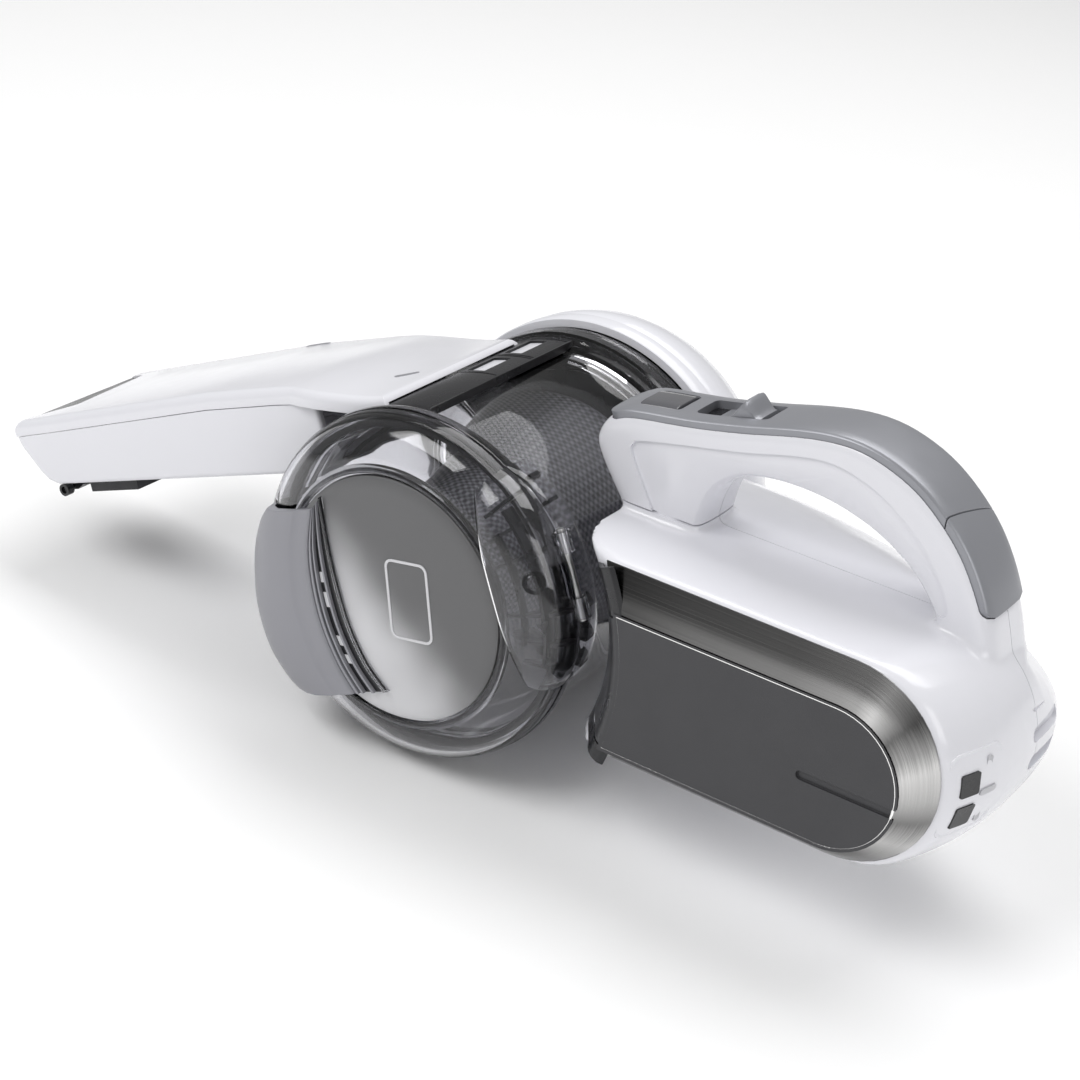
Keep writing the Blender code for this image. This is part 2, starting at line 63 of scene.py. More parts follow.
# Millimetres from the hub: x towards the handle, y along the pivot, z up.
BODY_LOW, BODY_HIGH = -33, 44
BODY_ROUND = 0.86  # depth of the round back, as a share of half its height
MID_Y = 4  # the seam between the two halves
GRIP_OUTER = [
    (69, 34), (65, 40.5), (58.5, 49), (52.2, 58), (48.8, 65), (49.6, 70.5), (52.8, 75.3), (58, 79.3),
    (66, 81.6), (78, 83.6), (90, 85.8), (108, 90), (126, 95), (140, 97.7), (152, 98), (164, 95.2),
    (175, 90.3), (185, 82.8), (194, 73.6), (201, 63), (206.5, 52), (210, 42), (212, 34),
]
GRIP_INNER = [
    (190, 34), (187, 46), (178.5, 57), (170, 63.5), (159, 69), (145, 72.8), (131, 74), (118, 73),
    (108, 70), (101, 64.5), (97, 56.5), (95, 46), (94, 34),
]
GRIP_LINE = [(52.5, 71.8), (60, 76.2), (68, 78.1), (78, 79.7), (90, 81.9), (108, 86.1), (126, 91),
             (140, 93.8), (152, 94), (163, 91.5), (173, 87), (182.3, 80.2), (190.8, 71.6), (197.5, 61.5),
             (202.5, 51)]


# ------------------------------------------------------------------ settings

class VacuumSizes(PropertyGroup):
    voxel: FloatProperty(name="Shell voxel", description="Grid step of the body shell",
                         default=1.25, min=0.8, unit="NONE")
    seam: FloatProperty(name="Seam", description="Gap between the two body halves, mm", default=0.28)
    cone_rows: IntProperty(name="Cone rows", description="Rows of dimples along the cone", default=26)
    cone_columns: IntProperty(name="Cone columns", description="Dimples round the cone", default=64)
    turns: IntProperty(name="Turn steps", description="Steps round a full turn", default=128)


def colour(label, value):
    return FloatVectorProperty(name=label, description=f"Colour of the {label.lower()}",
                               subtype="COLOR", default=value, min=0, max=1)


class VacuumColours(PropertyGroup):
    white: colour("White shell", (0.76, 0.76, 0.80))
    silver: colour("Silver grip", (0.30, 0.305, 0.33))
    charcoal: colour("Side panel", (0.052, 0.052, 0.056))
    steel: colour("Steel trim", (0.56, 0.555, 0.55))
    smoke: colour("Smoke clear", (0.84, 0.84, 0.87))
    frost: colour("Frosted disc", (0.74, 0.74, 0.76))
    black: colour("Black plastic", (0.012, 0.012, 0.014))
    grey: colour("Latch", (0.27, 0.27, 0.295))
    cone: colour("Filter cone", (0.15, 0.15, 0.16))


def sizes():
    return bpy.context.scene.vacuum_sizes


def colours():
    return bpy.context.scene.vacuum_colours


# ------------------------------------------------------------------ places

def at(x, y, z):
    return HUB + Vector((x, y, z)) * MM


def side(a, b, t):
    """Outline in x and z, thickness along y."""
    return (a, t, b)


def plan(a, b, t):
    """Outline in x and y, thickness along z."""
    return (a, b, t)


def end_on(a, b, t):
    """Outline in y and z, thickness along x."""
    return (t, a, b)


def nozzle_side(u, w, y):
    """Along the nozzle u, square to its top w, across y."""
    c, s = math.cos(PITCH), math.sin(PITCH)
    return (-u * c - w * s, y, -u * s + w * c)


def nozzle_plan(u, y, w):
    return nozzle_side(u, w, y)


def box_outline(a0, a1, b0, b1, radius=0, steps=5):
    if not radius:
        return [(a0, b0), (a1, b0), (a1, b1), (a0, b1)]
    out = []
    for a, b, turn in ((a1 - radius, b1 - radius, 0), (a0 + radius, b1 - radius, 90),
                       (a0 + radius, b0 + radius, 180), (a1 - radius, b0 + radius, 270)):
        for i in range(steps + 1):
            t = math.radians(turn + 90 * i / steps)
            out.append((a + radius * math.cos(t), b + radius * math.sin(t)))
    return out


def circle(a, b, radius, count=32):
    return [(a + radius * math.cos(TAU * i / count), b + radius * math.sin(TAU * i / count))
            for i in range(count)]


def offset(line, d, closed=True):
    """Moves each point of a line sideways by d, to the left of its run."""
    out = []
    last = len(line) - 1
    for i, point in enumerate(line):
        before = line[i - 1] if closed or i else point
        after = line[(i + 1) % len(line)] if closed or i < last else point
        normals = []
        for p, q in ((before, point), (point, after)):
            run = math.dist(p, q)
            if run > 1e-9:
                normals.append(((p[1] - q[1]) / run, (q[0] - p[0]) / run))
        nx = sum(n[0] for n in normals) / len(normals)
        nz = sum(n[1] for n in normals) / len(normals)
        scale = d / max(nx * nx + nz * nz, 0.3)
        out.append((point[0] + nx * scale, point[1] + nz * scale))
    return out


def smooth(line, each=4, closed=False):
    """A curve through the points of a line."""
    out = []
    count = len(line)
    spans = count if closed else count - 1
    for i in range(spans):
        ends = [line[(i + k) % count] if closed else line[min(max(i + k, 0), count - 1)]
                for k in (-1, 0, 1, 2)]
        for step in range(each):
            t = step / each
            out.append(tuple(
                0.5 * (2 * b + (c - a) * t + (2 * a - 5 * b + 4 * c - d) * t * t
                       + (3 * b - a - 3 * c + d) * t ** 3)
                for a, b, c, d in zip(*ends)))
    return out if closed else [*out, tuple(line[-1])]


def run_to(line, x):
    """Distance along a line to where its first number reaches x."""
    run = 0
    for a, b in zip(line, line[1:]):
        if b[0] >= x:
            return run + math.dist(a, b) * (x - a[0]) / (b[0] - a[0])
        run += math.dist(a, b)
    return run


def stretch(line, s0, s1, count=48):
    """Evenly spaced points between two distances along a line."""
    runs = [0]
    for a, b in zip(line, line[1:]):
        runs.append(runs[-1] + math.dist(a, b))
    out, i = [], 0
    for k in range(count + 1):
        s = s0 + (s1 - s0) * k / count
        while i < len(line) - 2 and runs[i + 1] < s:
            i += 1
        t = (s - runs[i]) / (runs[i + 1] - runs[i])
        out.append(tuple(p + (q - p) * t for p, q in zip(line[i], line[i + 1])))
    return out


def between(line, x0, x1):
    """The piece of a line between two values of its first number."""
    def point(x):
        for a, b in zip(line, line[1:]):
            if a[0] <= x <= b[0]:
                return (x, a[1] + (b[1] - a[1]) * (x - a[0]) / (b[0] - a[0]))
        return line[-1]
    return [point(x0), *[p for p in line if x0 + 0.4 < p[0] < x1 - 0.4], point(x1)]


# ------------------------------------------------------------------ mesh work

def loop(bm, points):
    """A closed ring of edges through points in millimetres."""
    verts = [bm.verts.new(p) for p in points]
    return verts, [bm.edges.new((verts[i - 1], verts[i])) for i in range(len(verts))]


def bridged(bm, loops):
    """Skins a ring of loops, the last joined to the first."""
    for low, high in zip(loops, loops[1:] + loops[:1]):
        bmesh.ops.bridge_loops(bm, edges=low[1] + high[1])


def sliced(bm, place, direction):
    """Cuts every face that a plane crosses in two."""
    bmesh.ops.bisect_plane(bm, geom=[*bm.verts, *bm.edges, *bm.faces], dist=1e-5,
                           plane_co=place, plane_no=direction)


def loft(rings):
    """A skin over rings of equal count, closed at both ends."""
    bm = bmesh.new()
    loops = [loop(bm, ring) for ring in rings]
    for low, high in zip(loops, loops[1:]):
        bmesh.ops.bridge_loops(bm, edges=low[1] + high[1])
    for ring in (loops[0], loops[-1]):
        bm.faces.new(ring[0])
    return bm


def prism(outline, place, low, high):
    bm = bmesh.new()
    face = bm.faces.new([bm.verts.new(place(a, b, low)) for a, b in outline])
    grown = bmesh.ops.extrude_face_region(bm, geom=[face])
    tops = [v for v in grown["geom"] if isinstance(v, bmesh.types.BMVert)]
    shift = Vector(place(0, 0, high)) - Vector(place(0, 0, low))
    bmesh.ops.translate(bm, verts=tops, vec=shift)
    return bm


def pillow(outline, place, levels):
    """An outline carried through levels of (height, inset)."""
    return loft([[place(a, b, t) for a, b in offset(outline, d)] for t, d in levels])


def spin(profile, start=0, sweep=360, steps=None):
    """Turns an (r, y) outline about the hub."""
    bm = bmesh.new()
    a = math.radians(start)
    verts = [bm.verts.new((r * math.cos(a), y, r * math.sin(a))) for r, y in profile]
    whole = sweep >= 360
    edges = [bm.edges.new(p) for p in zip(verts, verts[1:] + verts[:1])
             if math.hypot(p[0].co.x, p[0].co.z) > 0.01 or math.hypot(p[1].co.x, p[1].co.z) > 0.01]
    section = [] if whole else [bm.faces.new(verts)]
    count = steps or max(8, round(sizes().turns * sweep / 360))
    bmesh.ops.spin(bm, geom=[*section, *edges, *verts], cent=(0, 0, 0), axis=(0, -1, 0),
                   angle=math.radians(sweep), steps=count, use_merge=whole, use_duplicate=False)
    bmesh.ops.remove_doubles(bm, verts=bm.verts, dist=1e-4)
    return bm


def tidy(bm):
    bmesh.ops.remove_doubles(bm, verts=bm.verts, dist=1e-4)
    bmesh.ops.recalc_face_normals(bm, faces=bm.faces)
    return bm


def soften(bm, width, segments=2, angle=30):
    """Rounds the edges that are sharper than an angle."""
    tidy(bm)
    sharp = [e for e in bm.edges if len(e.link_faces) == 2
             and e.calc_face_angle(0) > math.radians(angle)]
    bmesh.ops.bevel(bm, geom=sharp, offset=width, offset_type="OFFSET", segments=segments,
                    profile=0.5, affect="EDGES", material=-1, clamp_overlap=True)
    return bm


def join(*parts):
    """Several meshes in one."""
    whole = bmesh.new()
    for part in parts:
        mesh = bpy.data.meshes.new("part")
        part.to_mesh(mesh)
        part.free()
        whole.from_mesh(mesh)
        bpy.data.meshes.remove(mesh)
    return whole


def raw_object(name, bm):
    """A loose object in millimetres, for the Boolean steps."""
    tidy(bm)
    mesh = bpy.data.meshes.new(name)
    bm.to_mesh(mesh)
    bm.free()
    obj = bpy.data.objects.new(name, mesh)
    bpy.context.scene.collection.objects.link(obj)
    return obj


def applied(obj):
    """The mesh of an object with its modifiers applied; the object goes."""
    bpy.context.view_layer.update()
    shape = obj.evaluated_get(bpy.context.evaluated_depsgraph_get())
    bm = bmesh.new()
    bm.from_mesh(shape.to_mesh())
    shape.to_mesh_clear()
    bpy.data.objects.remove(obj, do_unlink=True)
    return bm


def combine(base, others, operation="DIFFERENCE"):
    """Boolean of one mesh with several others, in millimetres."""
    obj = raw_object("base", base)
    tools = [raw_object("tool", other) for other in others]
    for tool in tools:
        mod = obj.modifiers.new("step", "BOOLEAN")
        mod.solver = "EXACT"
        mod.operation = operation
        mod.object = tool
    bm = applied(obj)
    for tool in tools:
        bpy.data.objects.remove(tool, do_unlink=True)
    return bm


def piece(name, bm, body, finish, replaces=(), bevel=0, sharp=35, recalc=True):
    """Puts a millimetre mesh in its place, gives it its finish and its body."""
    if recalc:
        tidy(bm)
    bmesh.ops.scale(bm, vec=(MM, MM, MM), verts=bm.verts)
    bmesh.ops.translate(bm, vec=HUB, verts=bm.verts)
    mesh = bpy.data.meshes.new(name)
    for face in bm.faces:
        face.smooth = True
    for edge in bm.edges:
        if len(edge.link_faces) == 2 and edge.calc_face_angle(0) > math.radians(sharp):
            edge.smooth = False
    bm.to_mesh(mesh)
    bm.free()
    obj = bpy.data.objects.new(name, mesh)
    bpy.context.scene.collection.objects.link(obj)
    mesh.materials.append(FINISH[finish])
    if bevel:
        mod = obj.modifiers.new("Edge", "BEVEL")
        mod.width = bevel * MM
        mod.segments = 3
        mod.limit_method = "ANGLE"
        mod.angle_limit = math.radians(32)
        mod.harden_normals = True
        mod.miter_outer = "MITER_ARC"
    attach(obj, body)
    if replaces:
        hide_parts(*replaces)


# ------------------------------------------------------------------ finishes

def shader(name):
    """A new material with its shader, and the point each pattern reads, in millimetres."""
    mat = bpy.data.materials.new(name)
    mat.use_nodes = True
    tree = mat.node_tree
    where = tree.nodes.new("ShaderNodeTexCoord")
    point = added(tree, "Mapping", {"Vector": where.outputs["Object"], "Scale": (1 / MM,) * 3,
                                    "Location": tuple(-c / MM for c in HUB)}, "Vector")
    return mat, tree, tree.nodes["Principled BSDF"], point


def feed(node, values):
    """Sets sockets by name, from a number or colour or from another node's output."""
    for name, value in values.items():
        if isinstance(value, bpy.types.NodeSocket):
            node.id_data.links.new(value, node.inputs[name])
        else:
            node.inputs[name].default_value = value


def added(tree, kind, values, output):
    """The output of a new node with its sockets set."""
    node = tree.nodes.new("ShaderNode" + kind)
    feed(node, values)
    return node.outputs[output]


def noise(tree, point, scale, detail=3, rough=0.5):
    return added(tree, "TexNoise", {"Vector": point, "Scale": scale, "Detail": detail,
                                    "Roughness": rough}, "Fac")


def ramp(tree, value, low, high, at_low=0, at_high=1):
    """Maps a value between two limits onto two others."""
    return added(tree, "MapRange", {"Value": value, "From Min": low, "From Max": high, "To Min": at_low,
                                    "To Max": at_high}, "Result")


def mix(tree, factor, first, second, blend="MIX"):
    node = tree.nodes.new("ShaderNodeMix")
    node.data_type = "RGBA"
    node.blend_type = blend
    feed(node, {"Factor": factor, "A": with_alpha(first), "B": with_alpha(second)})
    return node.outputs["Result"]


def with_alpha(value):
    """A colour gets its alpha; another node's output is left as it is."""
    return (*value, 1) if isinstance(value, tuple) else value


def bump(tree, bsdf, height, strength, distance=0.0002):
    values = {"Strength": strength, "Distance": distance, "Height": height}
    feed(bsdf, {"Normal": added(tree, "Bump", values, "Normal")})


def calc(tree, kind, operation, output, *inputs):
    """A maths node on its inputs, in order."""
    node = tree.nodes.new("ShaderNode" + kind)
    node.operation = operation
    feed(node, dict(enumerate(inputs)))
    return node.outputs[output]


def math_node(tree, operation, *inputs):
    return calc(tree, "Math", operation, "Value", *inputs)


def split(tree, vector):
    """The three parts of a vector."""
    node = tree.nodes.new("ShaderNodeSeparateXYZ")
    feed(node, {"Vector": vector})
    return [node.outputs[axis] for axis in "XYZ"]


def tint(rgb, factor):
    return tuple(min(1, c * factor) for c in rgb)


def plastic(name, rgb, rough, spread=0.04, grain=0, grain_scale=2, coat=0, metal=0, spec=0.5):
    """Moulded plastic: a faint drift of colour and gloss, and a fine grain where it has one."""
    mat, tree, bsdf, point = shader(name)
    drift = noise(tree, point, 0.02, 2)
    feed(bsdf, {
        "Base Color": mix(tree, drift, tint(rgb, 1 - spread), tint(rgb, 1 + spread)),
        "Roughness": ramp(tree, noise(tree, point, 0.09, 4), 0.3, 0.7, rough * 0.88, rough * 1.12),
        "Metallic": metal, "Specular IOR Level": spec, "Coat Weight": coat, "Coat Roughness": 0.08})
    if grain:
        bump(tree, bsdf, noise(tree, point, grain_scale, 2), grain)
    return mat


def clear_plastic(name, rgb, rough=0.02):
    """Clear moulded plastic with a smoke tint."""
    mat, tree, bsdf, point = shader(name)
    feed(bsdf, {
        "Base Color": mix(tree, noise(tree, point, 0.03, 2), tint(rgb, 0.97), tint(rgb, 1.03)),
        "Roughness": ramp(tree, noise(tree, point, 0.2, 3), 0.3, 0.7, rough, rough * 1.6),
        "Transmission Weight": 1, "IOR": PLASTIC_IOR})
    return mat


PLASTIC_IOR = 1.46
# Painted reflections on the steel trim: tone at each share of the band's length, dark at the front,
# bright and dark in turn round the rear bend.
STEEL_REFLECTION_BANDS = ((0, 0.10), (0.17, 0.10), (0.215, 0.16), (0.27, 0.30), (0.36, 0.42), (0.43, 0.75),
               (0.455, 1.5), (0.475, 0.8), (0.50, 0.28), (0.535, 0.7), (0.56, 1.5), (0.60, 0.9),
               (0.635, 0.4), (0.68, 1.1), (0.73, 0.5), (0.80, 0.35), (0.90, 0.3), (1, 0.2))
STEEL_REFLECTION_TONE = 0.78


def brushed_steel(name, rgb):
    """Steel brushed along the band: fine lines across it, and broad bands of painted reflection along
    it, dark at the front and bright and dark in turn round the rear bend.
    """
    mat, tree, bsdf, point = shader(name)
    tag = tree.nodes.new("ShaderNodeAttribute")
    tag.attribute_name = "across"
    run = added(tree, "Mapping", {"Vector": tag.outputs["Vector"], "Scale": (7, 2.5, 1)}, "Vector")
    lines = noise(tree, run, 1, 5, 0.65)
    across, along, _ = split(tree, tag.outputs["Vector"])
    shift = math_node(tree, "MULTIPLY_ADD", lines, 0.035, along)
    # This ramp paints the reflections along the trim into its colour.
    reflection_bands = tree.nodes.new("ShaderNodeValToRGB")
    stops = reflection_bands.color_ramp.elements
    for i, (place, painted_tone) in enumerate(STEEL_REFLECTION_BANDS):
        stop = stops[i] if i < 2 else stops.new(place)
        stop.position = place
        stop.color = (*(min(1, STEEL_REFLECTION_TONE * painted_tone),) * 3, 1)
    feed(reflection_bands, {"Fac": math_node(tree, "SUBTRACT", shift, 0.017)})
    streaks = mix(tree, lines, tint(rgb, 0.55), tint(rgb, 1.6))
    # body is the painted reflection bands times the brushed streaks.
    body = mix(tree, 1, reflection_bands.outputs["Color"], streaks, "MULTIPLY")
    # The rings of the inner lip get a brighter colour: a painted highlight along the trim's edge.
    feed(bsdf, {"Base Color": mix(tree, ramp(tree, across, 9, 9.6), body, tint(rgb, 1.7)),
                "Roughness": ramp(tree, lines, 0.3, 0.7, 0.15, 0.30), "Metallic": 1})
    bump(tree, bsdf, lines, 0.10, 0.0001)
    return mat


def frosted_face_painted_shade(name, rgb):
    """Frosted plastic with painted light and shade: lighter towards the lower left, darker towards the
    upper right, standing in for the dark filter seen through it.
    """
    mat, tree, bsdf, point = shader(name)
    x, _, z = split(tree, point)
    def times(value, factor):
        return math_node(tree, "MULTIPLY", value, factor)
    # Painted shade: the colour darkens across the disc towards its upper right.
    shade_slope = math_node(tree, "ADD", times(x, 0.6), times(z, 0.95))
    blurred_shade = math_node(tree, "ADD", shade_slope, times(noise(tree, point, 0.035, 1), 26))
    painted_tone = ramp(tree, blurred_shade, -24, 30)
    painted_tone.node.interpolation_type = "SMOOTHERSTEP"
    feed(bsdf, {"Base Color": mix(tree, painted_tone, tint(rgb, 1.08), tint(rgb, 0.22)),
                "Roughness": ramp(tree, noise(tree, point, 0.5, 3), 0.3, 0.7, 0.34, 0.44),
                "Transmission Weight": 0.25, "IOR": PLASTIC_IOR})
    bump(tree, bsdf, noise(tree, point, 4, 2), 0.08)
    return mat


CONE_RUN = 92  # millimetres along the cone and its cap that the rows are spread over


def cone_mesh(name, rgb):
    """Fine dimples in rows round the cone and over its cap, with painted shade: darker in the hollows,
    lighter on the crests.
    """
    mat, tree, bsdf, point = shader(name)
    x, y, z = split(tree, point)
    turn = math_node(tree, "ARCTAN2", z, x)
    across = math_node(tree, "SINE", math_node(tree, "MULTIPLY", turn, float(sizes().cone_columns)))
    flat = calc(tree, "VectorMath", "MULTIPLY", "Vector", point, (1, 0, 1))
    run = math_node(tree, "ADD", y, calc(tree, "VectorMath", "LENGTH", "Value", flat))
    along = math_node(tree, "SINE", math_node(tree, "MULTIPLY", run, TAU * sizes().cone_rows / CONE_RUN))
    dots = math_node(tree, "MULTIPLY", across, along)
    rows = math_node(tree, "ADD", dots, math_node(tree, "MULTIPLY", across, 0.35))
    # The relief sets the bump and also a painted shade in the colour, dark in the hollows and light on
    # the crests.
    dimple_relief_shade = ramp(tree, rows, -0.6, 1.2)
    feed(bsdf, {"Base Color": mix(tree, dimple_relief_shade, tint(rgb, 0.6), tint(rgb, 2.6)), "Roughness": 0.42})
    bump(tree, bsdf, dimple_relief_shade, 0.6, 0.0004)
    return mat

FINISH = {}


def make_finishes():
    c = colours()
    white, silver, black = tuple(c.white), tuple(c.silver), tuple(c.black)
    FINISH.update(
        white=plastic("gloss_white", white, 0.20, 0.012, coat=0.25),
        silver=plastic("satin_silver", silver, 0.33, 0.03, 0.05, 3, metal=0.35),
        charcoal=plastic("textured_charcoal", tuple(c.charcoal), 0.42, 0.06, 0.35, 2.4, metal=0.25),
        charcoal_edge=plastic("charcoal_edge", tuple(c.charcoal), 0.3, 0.06, 0.05, 2.4, metal=0.25),
        steel=brushed_steel("brushed_steel", tuple(c.steel)),
        smoke=clear_plastic("smoke_clear", tuple(c.smoke)),
        # A darker copy of the smoke clear: painted shade for the flange rims, the door lip and the hinge
        # boss.
        smoke_dark=clear_plastic("smoke_clear_painted_shade", tint(tuple(c.smoke), 0.24)),
        frost=frosted_face_painted_shade("frosted", tuple(c.frost)),
        black=plastic("satin_black", black, 0.28, 0.1),
        rubber=plastic("matt_rubber", tint(black, 1.4), 0.7, 0.1, 0.2, 1.5),
        grey=plastic("latch_grey", tuple(c.grey), 0.36, 0.03, 0.06, 3, metal=0.15),
        lens=plastic("smoke_lens", (0.10, 0.10, 0.11), 0.08, 0.05, coat=0.5),
        cone=cone_mesh("filter_mesh", tuple(c.cone)),
        metal=plastic("plain_steel", (0.5, 0.5, 0.5), 0.3, 0.08, metal=1),
        # White dimmed by a third: painted shade for the T-slot of the contact panel.
        dim_white=plastic("recess_white_painted_shade", tint(white, 0.66), 0.3, 0.02),
        badge=plastic("badge_outline", (0.62, 0.62, 0.64), 0.3, 0.02),
        cell=plastic("cell_wrap", (0.04, 0.16, 0.4), 0.35, 0.05),
        board=plastic("circuit_board", (0.015, 0.14, 0.05), 0.4, 0.15, 0.1, 0.6),
        paper=plastic("filter_paper", (0.7, 0.7, 0.66), 0.9, 0.05, 0.4, 1.2),
        bristle=plastic("bristle", (0.03, 0.03, 0.033), 0.6, 0.2, 0.5, 3),
    )


# ------------------------------------------------------------------ stage

CAMERA_TURN, CAMERA_RISE, CAMERA_ROLL = (math.radians(a) for a in (32.42, 27.21, 5.74))
CAMERA_DISTANCE = 899.2
CAMERA_TARGET = (22.5, 2.7, 10.45)
CAMERA_LENS = 80


class VACUUM_OT_stage(Operator):
    """Adds the floor, the soft lights and the camera"""
    bl_idname = "vacuum.stage"
    bl_label = "Stage"

    def execute(self, context):
        bm = bmesh.new()
        bmesh.ops.create_grid(bm, x_segments=1, y_segments=1, size=6)
        mesh = bpy.data.meshes.new("floor")
        bm.to_mesh(mesh)
        bm.free()
        floor = bpy.data.objects.new("floor", mesh)
        floor.location.z = -0.0005
        mesh.materials.append(plastic("floor", (0.985, 0.985, 0.985), 0.9, 0, spec=0.1))
        context.scene.collection.objects.link(floor)
        context.scene.view_settings.view_transform = "Standard"
        self.lights(context)
        self.camera(context)
        return {"FINISHED"}

    def lights(self, context):
        world = bpy.data.worlds.new("studio")
        world.use_nodes = True
        back = world.node_tree.nodes["Background"]
        back.inputs["Color"].default_value = (1, 1, 1, 1)
        back.inputs["Strength"].default_value = 0.34
        context.scene.world = world
        for name, place, size, power in (
            ("key", (-0.7, -1.1, 1.5), (1.3, 0.9), 19),
            ("top", (0.1, 0.7, 1.7), (1.8, 0.9), 18),
            ("side", (1.7, -0.6, 0.8), (0.8, 1), 6.5),
        ):
            data = bpy.data.lights.new(name, "AREA")
            data.shape = "RECTANGLE"
            data.size, data.size_y = size
            data.energy = power
            lamp = bpy.data.objects.new(name, data)
            lamp.location = place
            lamp.rotation_mode = "QUATERNION"
            lamp.rotation_quaternion = (HUB - Vector(place)).to_track_quat("-Z", "Y")
            context.scene.collection.objects.link(lamp)

    def camera(self, context):
        a, e, r = CAMERA_TURN, CAMERA_RISE, CAMERA_ROLL
        back = Vector((math.sin(a) * math.cos(e), -math.cos(a) * math.cos(e), math.sin(e)))
        level = Vector((math.cos(a), math.sin(a), 0))
        up = back.cross(level)
        right = level * math.cos(r) + up * math.sin(r)
        top = up * math.cos(r) - level * math.sin(r)
        data = bpy.data.cameras.new("camera")
        data.sensor_width = 36
        data.lens = CAMERA_LENS
        data.clip_start, data.clip_end = 0.05, 50
        camera = bpy.data.objects.new("camera", data)
        place = at(*CAMERA_TARGET) + back * CAMERA_DISTANCE * MM
        turn = Matrix((right, top, back)).transposed().to_4x4()
        camera.matrix_world = Matrix.Translation(place) @ turn
        context.scene.collection.objects.link(camera)
        context.scene.camera = camera


# ------------------------------------------------------------------ body

def body_outline(rear, front_r, low, high, flat=None):
    """Side outline: concave front about the hub, flat top as far as x = flat, round back."""
    half, mid = (high - low) / 2, (high + low) / 2
    a0, a1 = math.asin(low / front_r), math.asin(high / front_r)
    points = [(front_r * math.cos(a), front_r * math.sin(a))
              for a in (a0 + (a1 - a0) * i / 14 for i in range(15))]
    centre = rear - half * BODY_ROUND
    end = centre if flat is None else flat
    for i in range(1, 12):
        points.append((points[14][0] + (end - points[14][0]) * i / 12, high))
    for i in range(25):
        t = math.pi / 2 - math.pi * i / 24
        reach = rear - (end if t > 0 else centre)
        points.append((rear - reach + reach * math.cos(t), mid + half * math.sin(t)))
    return points


BODY_SECTIONS = (
    # y, rear, front radius, bottom, top, end of the flat top
    (-47, 212, 93.5, -30.4, 41.4, None), (-46.4, 214.5, 92, -31.6, 42.6, None),
    (-45, 216.5, 88.5, -32.5, 43.5, None), (-42, 218.5, 84.5, -33, 44, None),
    (-37, 220.3, 81, -33, 44, None), (-32, 222, 78.6, -33, 44, None),
    (-25, 223.8, 77.3, -33, 44, None), (-15, 225.4, 77.3, -33, 44, None),
    (-5, 226, 77.3, -33, 44, None), (4, 226, 77.3, -33, 44, 192.9),
    (12, 226, 77.3, -32.7, 43.9, 184), (17, 225.7, 77.3, -32.4, 43.8, 170),
    (22, 225.2, 77.3, -32.1, 43.6, 153), (32, 221.5, 77.3, -31.8, 43, 121),
    (40, 213.5, 77.3, -31.8, 41.8, 99), (48, 199, 77.3, -31.2, 40, 89),
    (56, 181, 77.3, -29.8, 36.6, 85), (62, 166, 77.3, -28.6, 33.2, 83),
    (67.4, 152, 77.3, -27.6, 30, 82), (68.8, 148.5, 72, -27.2, 29, 81),
    (74, 138, 72, -25.8, 25.6, 79), (82, 122, 72, -23.4, 21.4, 77.5),
    (90, 109, 72, -20.4, 17.6, 76.5), (95, 102, 72, -17.5, 14.8, 76),
    (96.4, 98, 72, -15, 12.6, 75.5),
)


def body_block():
    return loft([[side(a, b, y) for a, b in body_outline(rear, front_r, low, high, flat)]
                 for y, rear, front_r, low, high, flat in BODY_SECTIONS])


def handle_loop():
    line = smooth(GRIP_OUTER, 3) + smooth(GRIP_INNER, 3)
    levels = ((15, 4.6), (14.6, 3), (13.4, 1.4), (11.2, 0.35), (8, 0))
    rings = [(MID_Y - y, d) for y, d in levels] + [(MID_Y + y, d) for y, d in levels[::-1]]
    return loft([[side(a, b, y) for a, b in offset(line, -d)] for y, d in rings])


def post_foot(x, half_x, half_y, flare, low=36, high=58):
    """A flared foot that runs the handle into the top of the body."""
    rings = []
    for i in range(9):
        t = i / 8
        grow = flare * (1 - math.sin(math.pi / 2 * t)) ** 1.6
        rings.append([(x + (half_x + grow) * math.copysign(abs(math.cos(a)) ** 0.7, math.cos(a)),
                       MID_Y + (half_y + grow) * math.copysign(abs(math.sin(a)) ** 0.7, math.sin(a)),
                       low + (high - low) * t)
                      for a in (TAU * k / 36 for k in range(36))])
    return loft(rings)


def rear_slots():
    """Exhaust slots in the back of the body."""
    return [prism(box_outline(1, 24, low, low + 6, 2.9), end_on, 222.6, 240) for low in (-13, -2, 9, 20)]


RECESS = [
    (65.2, 66.5), (65.6, 69.8), (69, 72), (90, 77), (108, 81), (126, 86), (138, 88.4), (148, 88),
    (159, 84.8), (168, 80), (178, 72.6), (185.5, 64), (190.5, 56), (192, 51.5), (190.5, 48.8),
    (187, 49.5), (181, 53), (172, 57), (120, 52), (100, 47), (78.5, 47), (75.6, 48.8), (70.5, 57),
]


def side_recesses():
    """The flats sunk in both sides of the handle."""
    line = smooth(RECESS, 4, True)
    return [prism(line, side, MID_Y + low, MID_Y + high) for low, high in ((-30, -13.9), (13.9, 30))]


def post_ring():
    """The groove round the foot of the front post."""
    def oval(half_x, half_y):
        return [(82 + half_x * a, MID_Y + half_y * b) for a, b in circle(0, 0, 1, 64)]
    return combine(prism(oval(24, 24), plan, 46.6, 47.2), [prism(oval(12.6, 14.3), plan, 40, 50)])


INSERT_LEVELS = [(-9.6, 2.6), (-9.5, 3.6), (-9.1, 4.1), (-8.2, 4.45), (-5, 4.75), (-1, 4.95), (4, 5),
                 (9, 4.95), (13, 4.75), (16.2, 4.45), (17.1, 4.1), (17.5, 3.6), (17.6, 2.6)]


INSERT_HALF = 13.6
INSERT_SPAN = (54.8, 203.5)


